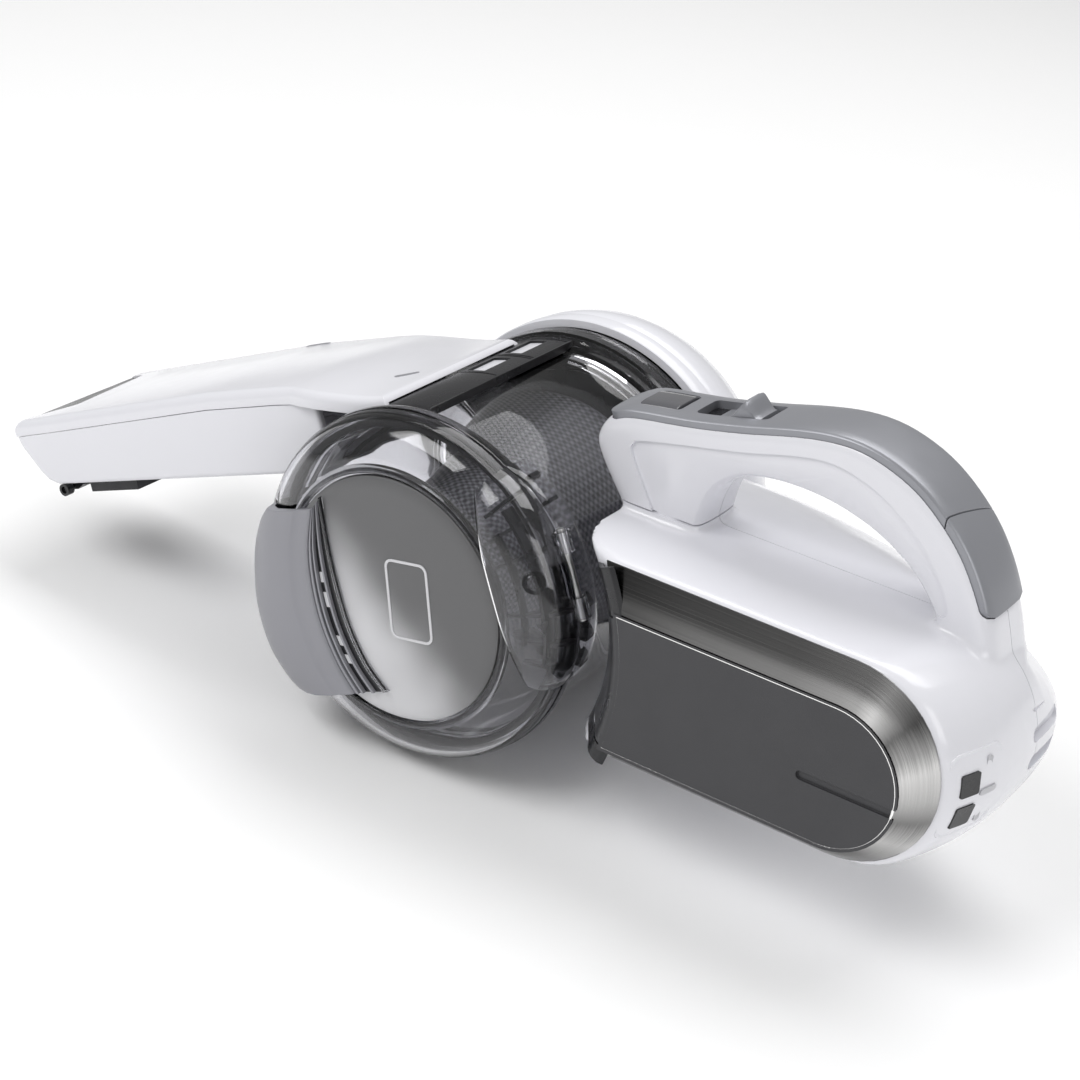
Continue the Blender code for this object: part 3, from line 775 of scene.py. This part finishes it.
def insert_strip(shrink=0, low=0.5, corner=4.5):
    """The insert of the grip, with round corners; a negative shrink gives the seat it lies in."""
    line = smooth(GRIP_LINE, 5)
    start, end = (run_to(line, x) for x in INSERT_SPAN)
    rings = []
    for y, high in INSERT_LEVELS:
        y = MID_Y + (y - MID_Y) * (1 - shrink / INSERT_HALF)
        into = max(0, abs(y - MID_Y) - (INSERT_HALF - shrink - corner))
        cut = corner - math.sqrt(max(0, corner ** 2 - min(into, corner) ** 2))
        part = stretch(line, start + shrink + cut, end - shrink - cut)
        rings.append(grip_strip(part, y, low, high if shrink >= 0 else 14))
    return loft(rings)


class VACUUM_OT_housing(Operator):
    """Builds the two white halves of the body with the loop handle"""
    bl_idname = "vacuum.housing"
    bl_label = "Housing"

    def execute(self, context):
        parts = [tidy(part) for part in (body_block(), handle_loop(), post_foot(82.5, 12, 14.6, 5),
                                         post_foot(198, 9.5, 13, 7, 34, 51))]
        shell = raw_object("shell", join(*parts))
        grid = shell.modifiers.new("Grid", "REMESH")
        grid.mode = "VOXEL"
        grid.voxel_size = sizes().voxel
        ease = shell.modifiers.new("Ease", "SMOOTH")
        ease.factor = 0.5
        ease.iterations = 12
        whole = combine(applied(shell), [*rear_slots(), *side_recesses(), insert_strip(-0.35, 1),
                                         post_ring()])
        half = sizes().seam / 2
        for name, keep in (("housing_left", -1), ("housing_right", 1)):
            beyond = prism(box_outline(-20, 260, -80, 130), side, MID_Y + keep * half,
                           MID_Y - keep * 150)
            part = combine(whole.copy(), [beyond])
            piece(name + "_shell", part, "housing", "white", (name,), sharp=50)
        whole.free()
        return {"FINISHED"}


def stadium(front_r, low, high, rear, half, arc=24):
    """Outline of the side panel and its trim."""
    a0, a1 = math.asin(low / front_r), math.asin(high / front_r)
    points = [(front_r * math.cos(a), front_r * math.sin(a))
              for a in (a0 + (a1 - a0) * i / 12 for i in range(13))]
    centre, mid = rear - half, (low + high) / 2
    for i in range(1, 12):
        points.append((points[12][0] + (centre - points[12][0]) * i / 12, high))
    for i in range(arc + 1):
        t = math.pi / 2 - math.pi * i / arc
        points.append((centre + half * math.cos(t), mid + (high - low) / 2 * math.sin(t)))
    for i in range(1, 12):
        points.append((centre + (points[0][0] - centre) * i / 12, low))
    return points


def mixed(first, second, t):
    return [(a[0] + (b[0] - a[0]) * t, a[1] + (b[1] - a[1]) * t) for a, b in zip(first, second)]


def trim_mesh():
    """The steel band, bowed from its outer edge to the panel."""
    outer = stadium(92.2, -31.8, 43, 215.2, 36.5)
    inner = stadium(94.5, -26.2, 25.6, 201.8, 25.4)
    rings = [(outer, -46.2)]
    for i in range(9):
        t = i / 8
        bow = math.sin(math.pi / 2 * t)
        rings.append((mixed(outer, inner, 0.93 * t), -46.7 - 4.3 * bow))
    rings += [(mixed(outer, inner, t), y)
              for t, y in ((0.945, -51.45), (0.97, -51.55), (1, -51.3), (1, -47))]
    bm = bmesh.new()
    tag = bm.verts.layers.float_vector.new("across")
    loops = [loop(bm, [side(a, b, y) for a, b in line]) for line, y in rings]
    for index, (verts, _) in enumerate(loops):
        for i, vert in enumerate(verts):
            vert[tag] = Vector((index, i / len(verts), 0))
    bridged(bm, loops)
    return bm


def front_wrap(start, sweep, lift=0):
    """The edge that turns from the side of the body into its concave front."""
    line = smooth([(95.6, -51.4), (92, -50.9), (89.2, -48.7), (87, -45.4), (84, -41.4), (81, -37.4),
                   (78.9, -33), (77.7, -28)], 3)
    line = [(r - lift, y - 0.3 * lift) for r, y in line]
    back = [(r + 1.8, y + 1) for r, y in line[::-1]]
    return spin(line + back, start, sweep, 24)


class VACUUM_OT_side(Operator):
    """Builds the steel trim and the charcoal side panel"""
    bl_idname = "vacuum.side"
    bl_label = "Side panel"

    def execute(self, context):
        piece("trim_band", trim_mesh(), "housing", "steel", ("trim_left",), sharp=50)
        outline = stadium(94.9, -25.8, 25.2, 201.4, 25)
        panel = pillow(outline, side, ((-47.3, 0), (-50.3, 0), (-50.9, 0.25), (-51.3, 0.8), (-51.5, 2)))
        groove = prism(box_outline(166, 215, -5.4, -1.9, 1.7), side, -50.4, -60)
        panel = combine(panel, [groove])
        piece("side_panel", panel, "housing", "charcoal", ("side_panel_left",), bevel=0.25)
        piece("panel_wrap", front_wrap(-15.9, 31.5), "housing", "charcoal_edge", bevel=0.3)
        # The trim's turns onto the front are black: a painted dark reflection of the steel there.
        piece("trim_wrap_painted_reflection", front_wrap(16, 11, -0.1), "housing", "black", (), bevel=0.3)
        piece("trim_wrap_low_painted_reflection", front_wrap(-20.3, 4, -0.1), "housing", "black", ())
        return {"FINISHED"}


def grip_strip(line, y, low, high):
    return [side(a, b, y) for a, b in offset(line, low, False) + offset(line, high, False)[::-1]]


class VACUUM_OT_grip(Operator):
    """Builds the silver insert of the grip, the lens and the slide switch"""
    bl_idname = "vacuum.grip"
    bl_label = "Grip"

    def execute(self, context):
        line = smooth(GRIP_LINE, 5)
        window, bed = box_outline(61.8, 78.6, -4.2, 12.2, 2.5), box_outline(84.6, 112.8, -3.6, 11.6, 2)
        split = [(183, -20), (183.5, -20), (192, 28), (191.5, 28)]
        whole = combine(insert_strip(), [prism(cut, plan, 60, 110) for cut in (window, bed, split)])
        upper, lower = whole.copy(), whole
        for name, bm, low in (("upper", upper, False), ("lower", lower, True)):
            gone = [v for v in bm.verts if (v.co.x > 183.25 + (v.co.y + 20) * 0.1771) != low]
            bmesh.ops.delete(bm, geom=gone, context="VERTS")
            piece("grip_insert_" + name, bm, "housing", "silver", ("handle_insert_" + name,), bevel=0.3)
        pane = between(line, 63, 78)
        lens = loft([grip_strip(pane, y, 0.6, h) for y, h in
                     ((-3.8, 3.6), (-3.3, 4.7), (-2, 5.2), (0, 5.4), (8, 5.4), (10.2, 5.2), (11.4, 4.7),
                      (11.8, 3.6))])
        piece("indicator_window", lens, "housing", "lens", ("indicator_lens",), bevel=0.4)
        floor = between(line, 85.2, 112.4)
        piece("slide_bed", loft([grip_strip(floor, y, 0.4, 1.8) for y in (-4, 12)]), "housing",
              "black", ("slider_plate",))
        self.knob(line)
        return {"FINISHED"}

    def knob(self, line):
        foot = stretch(line, run_to(line, 92), run_to(line, 110.2), 30)
        count = len(foot)
        rise = smooth([(0, 1), (0.14, 1.4), (0.34, 3), (0.55, 6.4), (0.68, 8.6), (0.76, 8.6), (0.84, 6),
                       (0.92, 3.4), (1, 2.6)], 6)
        heights = [between(rise, i / (count - 1) - 1e-6, 1)[0][1] for i in range(1, count - 1)]
        heights = [rise[0][1], *heights, rise[-1][1]]

        def ring(y, share):
            top = [offset(foot, 1.6 + h * share, False)[i] for i, h in enumerate(heights)]
            return [side(a, b, y) for a, b in offset(foot, 1.6, False) + top[::-1]]
        knob = loft([ring(y, share) for y, share in
                     ((-2.9, 0.55), (-2.5, 0.8), (-1.6, 0.95), (1, 1), (7, 1), (9.6, 0.95),
                      (10.5, 0.8), (10.9, 0.55))])
        piece("slide_knob", knob, "switch", "silver", ("power_slider",), bevel=0.3)


def rear_x(y):
    """The back of the body at a height near its middle."""
    rows = [(s[0], s[1]) for s in BODY_SECTIONS]
    for (ya, xa), (yb, xb) in zip(rows, rows[1:]):
        if ya <= y <= yb:
            return xa + (xb - xa) * (y - ya) / (yb - ya)
    return rows[-1][1]


def rear_depth(y, z):
    """The back of the body, round in height too."""
    half, mid = (BODY_HIGH - BODY_LOW) / 2, (BODY_HIGH + BODY_LOW) / 2
    rise = max(-1, min(1, (z - mid) / half))
    return rear_x(y) - BODY_ROUND * half * (1 - math.sqrt(1 - rise * rise))


def laid_on_back(outline, low, high, cuts=6):
    """A prism bent onto the back of the body."""
    bm = prism(outline, end_on, low, high)
    ys = [v.co.y for v in bm.verts]
    for i in range(1, cuts):
        y = min(ys) + (max(ys) - min(ys)) * i / cuts
        sliced(bm, (0, y, 0), (0, 1, 0))
    for vert in bm.verts:
        vert.co.x += rear_depth(vert.co.y, vert.co.z)
    return bm


class VACUUM_OT_contacts(Operator):
    """Builds the contact panel at the back"""
    bl_idname = "vacuum.contacts"
    bl_label = "Contacts"

    def execute(self, context):
        plate = laid_on_back(box_outline(-44, -20.5, -12, 20.5, 4), -1.5, 0.35)
        piece("contact_plate", plate, "housing", "white", ("contact_panel",), bevel=0.3)
        for name, node, low in (("contact_low", "charge_contact_lower", -8),
                                ("contact_high", "charge_contact_upper", 4.5)):
            window = laid_on_back(box_outline(-40, -32, low, low + 8.5, 0.9), -0.5, 0.55, 3)
            piece(name, window, "housing", "black", (node,))
        # The T-slot is drawn in the dimmed white, a painted shade.
        slot = join(laid_on_back(box_outline(-28.5, -26, -9, 17, 1.1), -0.5, 0.5, 2),
                    laid_on_back(box_outline(-31, -23, 2.8, 5.2, 1.1), -0.5, 0.52, 3))
        piece("contact_slot", slot, "housing", "dim_white", recalc=False)
        return {"FINISHED"}


class VACUUM_OT_drum(Operator):
    """Builds the white motor cover at the far end of the hub"""
    bl_idname = "vacuum.drum"
    bl_label = "Motor cover"

    def execute(self, context):
        line = [(67.6, 69.8), (70.6, 69.8), (71, 70.3), (71, 77.2), (70.3, 77.9), (70.3, 78.6),
                (70.7, 79.2), (70.2, 86), (68.6, 92.6), (65.2, 99.6), (60, 105.8), (53, 110.6),
                (44, 114),
                (30, 116.2), (14, 117), (0, 117), (0, 114.5), (37.2, 113.6), (53.2, 108),
                (62.2, 97.5), (67.2, 83.5)]
        piece("motor_cover", spin(line), "housing", "white", ("motor_drum",), sharp=40)
        return {"FINISHED"}


# ------------------------------------------------------------------ head

NOZZLE_CLIMB = 5.5


class VACUUM_OT_nozzle(Operator):
    """Builds the nozzle's two mouldings"""
    bl_idname = "vacuum.nozzle"
    bl_label = "Nozzle"

    def execute(self, context):
        near = [(212, -29.5), (62, -29.5), (52, -30.2), (44, -32.4), (36, -33.6), (20, -33.8),
                (2, -33.8)]
        far = [(2, 50), (30, 50), (46, 49.6), (60, 48.6), (212, 48.5)]
        levels = ((63.2, 0), (65.6, 0), (67.2, -0.5), (68.5, -1.5), (69.2, -2.6), (69.5, -3.8))
        top = pillow(near + far, nozzle_plan, levels)
        hollow = [(220, -27), (62, -27), (40, -31), (-8, -31.3), (-8, 47.5), (30, 47.5),
                  (62, 46), (220, 46)]
        notch = [(230, -27), (212, -24), (204, -19), (194, -10.5), (193.2, -8), (200.4, 36),
                 (202, 38.6), (230, 43)]
        top = combine(top, [prism(hollow, nozzle_plan, 60, 67), prism(notch, nozzle_plan, 60, 80)])
        profile = [(40, 65.5), (212.6, 65.5), (211, 59), (203.4, 47.2), (200, 43.6), (194.5, 41.4),
                   (40, 41)]
        low = soften(prism(profile, nozzle_side, -29.4, 48.4), 1.6, 3, 60)
        low = combine(low, [prism(box_outline(20, 230, 62.9, 75), nozzle_side, -40, 60),
                            prism(box_outline(10, 230, 43.5, 75), nozzle_side, -26.5, 45.5),
                            spin([(0, -80), (62.9, -80), (62.9, 80), (0, 80)])])
        # A black sheet under the opening at the mouth: painted shade standing for the dark inside of the
        # nozzle.
        slot_shade = prism(box_outline(186, 210.6, -25, 44), nozzle_plan, 67.3, 68.5)
        near_mark = [(15.6 - 0.66 * a - 0.75 * b, -2.9 + 0.75 * a - 0.66 * b)
                     for a, b in box_outline(-4.8, 4.8, -1.1, 1.1, 1)]
        marks = tidy(join(prism(near_mark, nozzle_plan, 68.6, 69.65),
                          prism(box_outline(94, 107, 43, 45.2, 1), nozzle_plan, 68.4, 69.6)))
        for name, bm, finish, node, bevel in (("nozzle_top", top, "white", ("nozzle_upper",), 0.5),
                                              ("nozzle_base", low, "white", ("nozzle_lower",), 0.3),
                                              ("nozzle_slot_painted_shade", slot_shade, "black", (), 0),
                                              ("nozzle_marks", marks, "grey", (), 0)):
            self.raised(bm)
            piece(name, bm, "head", finish, node, bevel=bevel)
        return {"FINISHED"}

    def raised(self, bm):
        """The upper part climbs a little from the mouth to the collar."""
        for cut in (8, 15, 22, 29, 36, 43, 50, 58, 98, 125, 155, 185):
            sliced(bm, nozzle_side(cut, 0, 0), nozzle_side(1, 0, 0))
        for vert in bm.verts:
            x, z = vert.co.x, vert.co.z
            u = -x * math.cos(PITCH) - z * math.sin(PITCH)
            w = -x * math.sin(PITCH) + z * math.cos(PITCH)
            near = max(0, min(1, (u - 4) / 54))
            climb = (NOZZLE_CLIMB * near * near * (3 - 2 * near) * max(0, min(1, (208 - u) / 110))
                     * max(0, min(1, (w - 41.4) / 21.5)))
            vert.co.x -= climb * math.sin(PITCH)
            vert.co.z += climb * math.cos(PITCH)


class VACUUM_OT_bowl(Operator):
    """Builds the clear bowl with its stepped flange"""
    bl_idname = "vacuum.bowl"
    bl_label = "Bowl"

    def execute(self, context):
        line = [(60.6, -40.4), (62.4, -40.4), (62.4, -39.6), (65.2, -39.6), (65.2, -40.4), (67.5, -40.4),
                (67.5, -36.8), (66.4, -36.2), (65.4, -36.2), (64.6, -34.8), (63, -34.2), (62.5, -33.2),
                (62.5, 51), (63.6, 54.2), (66.6, 57.2), (68.5, 59.6), (68.5, 66), (66.6, 66),
                (66.4, 60.2), (64.5, 58.8), (46, 58.8), (46, 57), (60.6, 57)]
        bowl = spin(line)
        inlet = prism(box_outline(5, 75, 45.2, 59.4), nozzle_side, -20, 40)
        bowl = combine(bowl, [inlet])
        piece("bowl", bowl, "head", "smoke", ("bowl_shell",), sharp=30)
        rim = join(spin([(65.3, -40.5), (67.7, -40.5), (67.9, -38.8), (67.5, -36.7), (66.2, -36.7),
                         (65.3, -38)]),
                   spin([(63.3, -33.6), (64.2, -34.2), (64.8, -33.2), (64, -31.6), (62.7, -31.6)]))
        # The rims use the darker smoke, a painted shade.
        piece("bowl_rim", rim, "head", "smoke_dark")
        band = spin([(66.3, 59.9), (66.3, 65.6), (64.8, 65.6), (64.8, 59.9)])
        piece("bowl_back_ring", band, "head", "black")
        collar = spin([(63, -33), (66, -33), (66.5, -31.5), (66.5, 58), (66, 59), (63, 59)], 96, 22, 14)
        starts, cuts = (12, 36), []
        for low in starts:
            cuts.append(spin(box_outline(60, 70, low, low + 17), 103.5, 7, 5))
            for y in (low - 3, low + 19.4):
                cuts.append(spin(box_outline(65.4, 70, y, y + 0.8), 97, 15, 6))
        piece("collar_band", combine(collar, cuts), "head", "black", ("collar",), bevel=0.25)
        for i, low in enumerate(starts):
            pane = spin(box_outline(63.2, 65.6, low + 0.2, low + 16.8), 103.7, 6.6, 5)
            piece(f"collar_window_{i + 1}", pane, "head", "white")
        return {"FINISHED"}


class VACUUM_OT_filter(Operator):
    """Builds the dimpled filter cone"""
    bl_idname = "vacuum.filter"
    bl_label = "Filter cone"

    def execute(self, context):
        line = [(0, -29.5), (11, -29), (19, -27.4), (25, -24.8), (28.6, -21.4), (30.2, -17.5),
                (46.4, 52.9), (44.4, 53), (27.6, -20.8), (26.2, -22.3), (0, -22.3)]
        piece("filter_cone", spin(line, steps=160), "head", "cone", ("filter_mesh",))
        return {"FINISHED"}


class VACUUM_OT_door(Operator):
    """Builds the clear door with its frosted disc"""
    bl_idname = "vacuum.door"
    bl_label = "Bowl door"

    def execute(self, context):
        front = smooth([(67.2, -44.2), (66.4, -47.4), (64.4, -50.6), (61.2, -53.4), (57.2, -55.6),
                        (53, -57), (49.4, -57.5)], 3)
        back = smooth([(49.4, -55.2), (52.6, -54.8), (56.4, -53.4), (60, -51.4), (62.8, -48.8),
                       (64.4, -46), (64.9, -43.6)], 3)
        line = [(67.2, -41), *front, (48.2, -57.3), (48, -55.3), (44, -55.3), (44, -53.9), (48.8, -53.9),
                *back[2:], (64.9, -41)]
        shell = spin(line)
        hinge = JOINTS["door_hinge"]["pos_m"]
        x, y = ((hinge[i] - HUB[i]) / MM for i in (0, 1))
        arm = prism(box_outline(64.9, x, -46, -41.3), plan, -7, 7)
        knuckle = prism(circle(x, y, 3.2), plan, -8, 8)
        shell = combine(shell, [arm, knuckle], "UNION")
        shell = combine(shell, [prism(circle(x, y, 1.7), plan, -10, 10)])
        piece("door_dome", shell, "door", "smoke", ("door_shell",), sharp=30)
        lip = join(spin([(64.2, -45.6), (66.2, -46.6), (67.2, -45), (67.4, -41.2), (64.9, -41.2)]),
                   spin([(48.4, -57.7), (49.3, -57.9), (50.2, -57.5), (50.2, -55.6), (48.4, -55.6)]))
        # The lip uses the darker smoke, a painted shade.
        piece("door_lip", lip, "door", "smoke_dark")
        disc = spin([(0, -58.6), (30, -58.6), (42, -58.4), (46, -58), (47.3, -57.2), (47.6, -55.7),
                     (0, -55.7)])
        piece("door_face", disc, "door", "frost", ("door_disc",))
        self.badge()
        return {"FINISHED"}

    def badge(self):
        outer = box_outline(-9.6, 9.6, -15.6, 15.6, 3.4)
        inner = offset(outer, 1)
        bm = bmesh.new()
        bridged(bm, [loop(bm, [side(a, b, y) for a, b in line]) for line, y in
                     ((outer, -58.5), (outer, -58.95), (inner, -58.95), (inner, -58.5))])
        turn = math.radians(11)
        for vert in bm.verts:
            x, z = vert.co.x, vert.co.z
            vert.co.x = x * math.cos(turn) - z * math.sin(turn) + 8.5
            vert.co.z = x * math.sin(turn) + z * math.cos(turn) + 3
        piece("door_badge_outline", bm, "door", "badge", ("door_badge",))


class VACUUM_OT_latch(Operator):
    """Builds the grey door latch"""
    bl_idname = "vacuum.latch"
    bl_label = "Latch"

    def execute(self, context):
        outer, inner, edge = (smooth(line, 8) for line in (
            [(-64.5, 14.5), (-68.2, 0), (-68.6, -14), (-66.2, -29.5), (-58.6, -45), (-45, -56.5)],
            [(-36, 25.5), (-36.6, 9), (-33.8, -6.5), (-28.4, -20.5), (-20.2, -33.2), (-11, -42.6)],
            [(-34, 30.5), (-28.6, 13), (-22.6, -3), (-15.6, -17.5), (-6.4, -29.5), (3, -36.6)]))
        shape = smooth([(0, -60.2), (0.01, -61.6), (0.05, -62.3), (0.20, -62.9), (0.26, -63.6),
                        (0.5, -63.4), (0.72, -61.6), (0.9, -57.2), (0.98, -51), (1, -44), (1, -38)], 2)
        shape += [(0.96, -38), (0.95, -50), (0.84, -56), (0.66, -59.6), (0.3, -60.8)]
        rings = []
        for i, (a, b) in enumerate(zip(inner, outer)):
            t = i / (len(inner) - 1)
            ease = 0.9 + 0.1 * min(1, 12 * t, 12 * (1 - t)) ** 0.5
            rings.append([(a[0] + (b[0] - a[0]) * d * (ease if d > 0.5 else 1), y,
                           a[1] + (b[1] - a[1]) * d * (ease if d > 0.5 else 1)) for d, y in shape])
        piece("latch_tab", loft(rings), "latch", "grey", ("door_latch",), bevel=0.6)
        self.channel(inner, edge)
        return {"FINISHED"}

    def channel(self, inner, edge):
        """The clear channel beside the latch, with its rails and its slots."""
        def strip(d0, d1, y0, y1, first=0, last=None):
            return loft([[(a[0] + (b[0] - a[0]) * d, y, a[1] + (b[1] - a[1]) * d)
                          for d, y in ((d0, y0), (d0, y1), (d1, y1), (d1, y0))]
                         for a, b in list(zip(inner, edge))[first:last]])
        piece("latch_channel", strip(0.02, 0.86, -58.7, -59.6), "door", "black")
        piece("channel_walls", join(strip(0.04, 0.13, -58.7, -61.6), strip(0.20, 0.27, -58.7, -61.2),
                                    strip(0.52, 0.60, -58.7, -61)),
              "door", "grey", (), bevel=0.15)
        piece("channel_rim", strip(0.86, 1, -58.4, -60.6), "door", "smoke", bevel=0.2)
        piece("channel_slots", join(*(strip(0.31, 0.48, -58.7, -59.9, a, b) for a, b in
                                      ((13, 16), (17, 21), (26, 29), (30, 33)))),
              "door", "badge", ())


HINGE_TURN, HINGE_HALF = 24, 37  # degrees above the middle, and to each side of that
HINGE_ROOT = 48.6
HINGE_STEPS = 48


class VACUUM_OT_hinge(Operator):
    """Builds the clear hinge housing on the rim"""
    bl_idname = "vacuum.hinge"
    bl_label = "Hinge housing"

    def execute(self, context):
        door_part, bowl_part = [], []
        for i in range(HINGE_STEPS + 1):
            swing = HINGE_HALF * (2 * i / HINGE_STEPS - 1)
            turn = math.radians(HINGE_TURN + swing)
            root = HINGE_ROOT / math.cos(math.radians(swing))
            swell = max(0, 1 - (swing / HINGE_HALF) ** 4)
            front = -57.6 + max(0, root - 50) ** 1.25 * 0.22
            flat = [(root, front), (root + 0.5, front - 0.6), (root * 0.5 + 33, front + 1.2),
                    (65.4, -50.6), (67.4, -46), (67.9, -41.3)]
            bulge = [(root, front), (root + 0.6, front - 1.6), (root * 0.45 + 36.5, -58.2),
                     (68.4, -54), (71.4, -48), (71.8, -41.3)]
            line = smooth(mixed(flat, bulge, swell), 3)
            rear = smooth([(67.9 + 2.4 * swell, -40.2), (67.9 + 3.8 * swell, -38.4),
                           (67.8 + 4 * swell, -34), (66.4 + 3.2 * swell, -27.5), (63.2, -22.6)], 3)
            for part, edge in ((door_part, line), (bowl_part, rear)):
                closed = edge + [(r - 1.5, y + 0.9) for r, y in edge[::-1]]
                part.append([(r * math.cos(turn), y, r * math.sin(turn)) for r, y in closed])
        piece("hinge_cover_door", loft(door_part), "door", "smoke", sharp=30)
        piece("hinge_cover_bowl", loft(bowl_part), "head", "smoke", ("hinge_housing",), sharp=30)
        ribs = []
        for swing in (-28, -20, -10, 10, 20, 28):
            root = HINGE_ROOT / math.cos(math.radians(swing)) + 1.6
            low = -56 + (root - 50) * 0.45
            ribs.append(spin([(root, low), (66, -50.5), (69.4, -45), (69.4, -42), (root, low + 1.6)],
                             23.4 + swing, 1.2, 2))
        ribs.append(spin(box_outline(56.4, 57.4, -55.4, -52), 3, 42, 16))
        ribs.append(spin([(64.2, -53.6), (65.2, -53.2), (65.2, -48), (64.2, -48)], -2, 52, 20))
        piece("hinge_ribs_door", join(*ribs), "door", "black", recalc=False)
        ribs = [spin([(63, -36.6), (70.4, -36.6), (69.6, -31), (63, -24.6)], a, 1.2, 2)
                for a in (-7, 2, 12, 35, 45, 54)]
        piece("hinge_ribs_bowl", join(*ribs), "head", "black", recalc=False)
        boss = combine(prism(circle(0, 0, 4.2), self.boss_place, 0, 3),
                       [prism(circle(0, 0, 2.5), self.boss_place, -1, 4)])
        # The boss uses the darker smoke, a painted shade.
        piece("hinge_boss", boss, "door", "smoke_dark", bevel=0.3)
        return {"FINISHED"}

    def boss_place(self, a, b, t):
        """A short tube standing on the shoulder of the door at the hinge."""
        turn, lean = math.radians(26), math.radians(38)
        out = 63.5 + a * math.cos(lean) + t * math.sin(lean)
        y = -53 + a * math.sin(lean) - t * math.cos(lean)
        return (out * math.cos(turn) - b * math.sin(turn), y, out * math.sin(turn) + b * math.cos(turn))


class VACUUM_OT_inside(Operator):
    """Gives the pieces that keep their plain shape their finish"""
    bl_idname = "vacuum.inside"
    bl_label = "Inner pieces"

    finishes = {
        "black": ("battery_tray", "power_switch", "fan_shroud", "motor_bracket", "pivot_ring",
                  "brush_bar", "brush_bracket_near", "brush_bracket_far", "filter_frame"),
        "rubber": ("motor_mount", "pivot_seal", "inlet_flap", "door_seal"),
        "metal": ("motor_can", "motor_shaft", "hinge_pin"),
        "grey": ("impeller",),
        "board": ("control_board",),
        "paper": ("filter_pleats",),
        "bristle": ("brush_bristles",),
        "smoke": ("hinge_knuckle_upper", "hinge_knuckle_lower"),
        "cell": tuple(f"battery_cell_{i}" for i in range(1, 6)),
    }

    def execute(self, context):
        for finish, nodes in self.finishes.items():
            for node in nodes:
                mesh = frame["nodes"][node].data
                mesh.materials.clear()
                mesh.materials.append(FINISH[finish])
        return {"FINISHED"}


class VACUUM_PT_panel(Panel):
    """Lists the pieces in the sidebar"""
    bl_idname = "VACUUM_PT_panel"
    bl_label = "Hand Vacuum"
    bl_space_type = "VIEW_3D"
    bl_region_type = "UI"
    bl_category = "Hand Vacuum"

    def draw(self, context):
        for settings in (context.scene.vacuum_sizes, context.scene.vacuum_colours):
            column = self.layout.column()
            for name in settings.__annotations__:
                column.prop(settings, name)
        for operator in OPERATORS:
            self.layout.operator(operator.bl_idname)


OPERATORS = (
    VACUUM_OT_stage, VACUUM_OT_housing, VACUUM_OT_side, VACUUM_OT_grip, VACUUM_OT_contacts,
    VACUUM_OT_drum, VACUUM_OT_nozzle, VACUUM_OT_bowl, VACUUM_OT_filter, VACUUM_OT_door,
    VACUUM_OT_latch, VACUUM_OT_hinge, VACUUM_OT_inside,
)
CLASSES = (VacuumSizes, VacuumColours, *OPERATORS, VACUUM_PT_panel)


def register():
    for cls in CLASSES:
        bpy.utils.register_class(cls)
    bpy.types.Scene.vacuum_sizes = PointerProperty(type=VacuumSizes)
    bpy.types.Scene.vacuum_colours = PointerProperty(type=VacuumColours)


def unregister():
    del bpy.types.Scene.vacuum_colours
    del bpy.types.Scene.vacuum_sizes
    for cls in reversed(CLASSES):
        bpy.utils.unregister_class(cls)


def main():
    register()
    make_finishes()
    for operator in OPERATORS:
        getattr(bpy.ops.vacuum, operator.bl_idname.split(".")[1])()


if __name__ == "__main__":
    main()
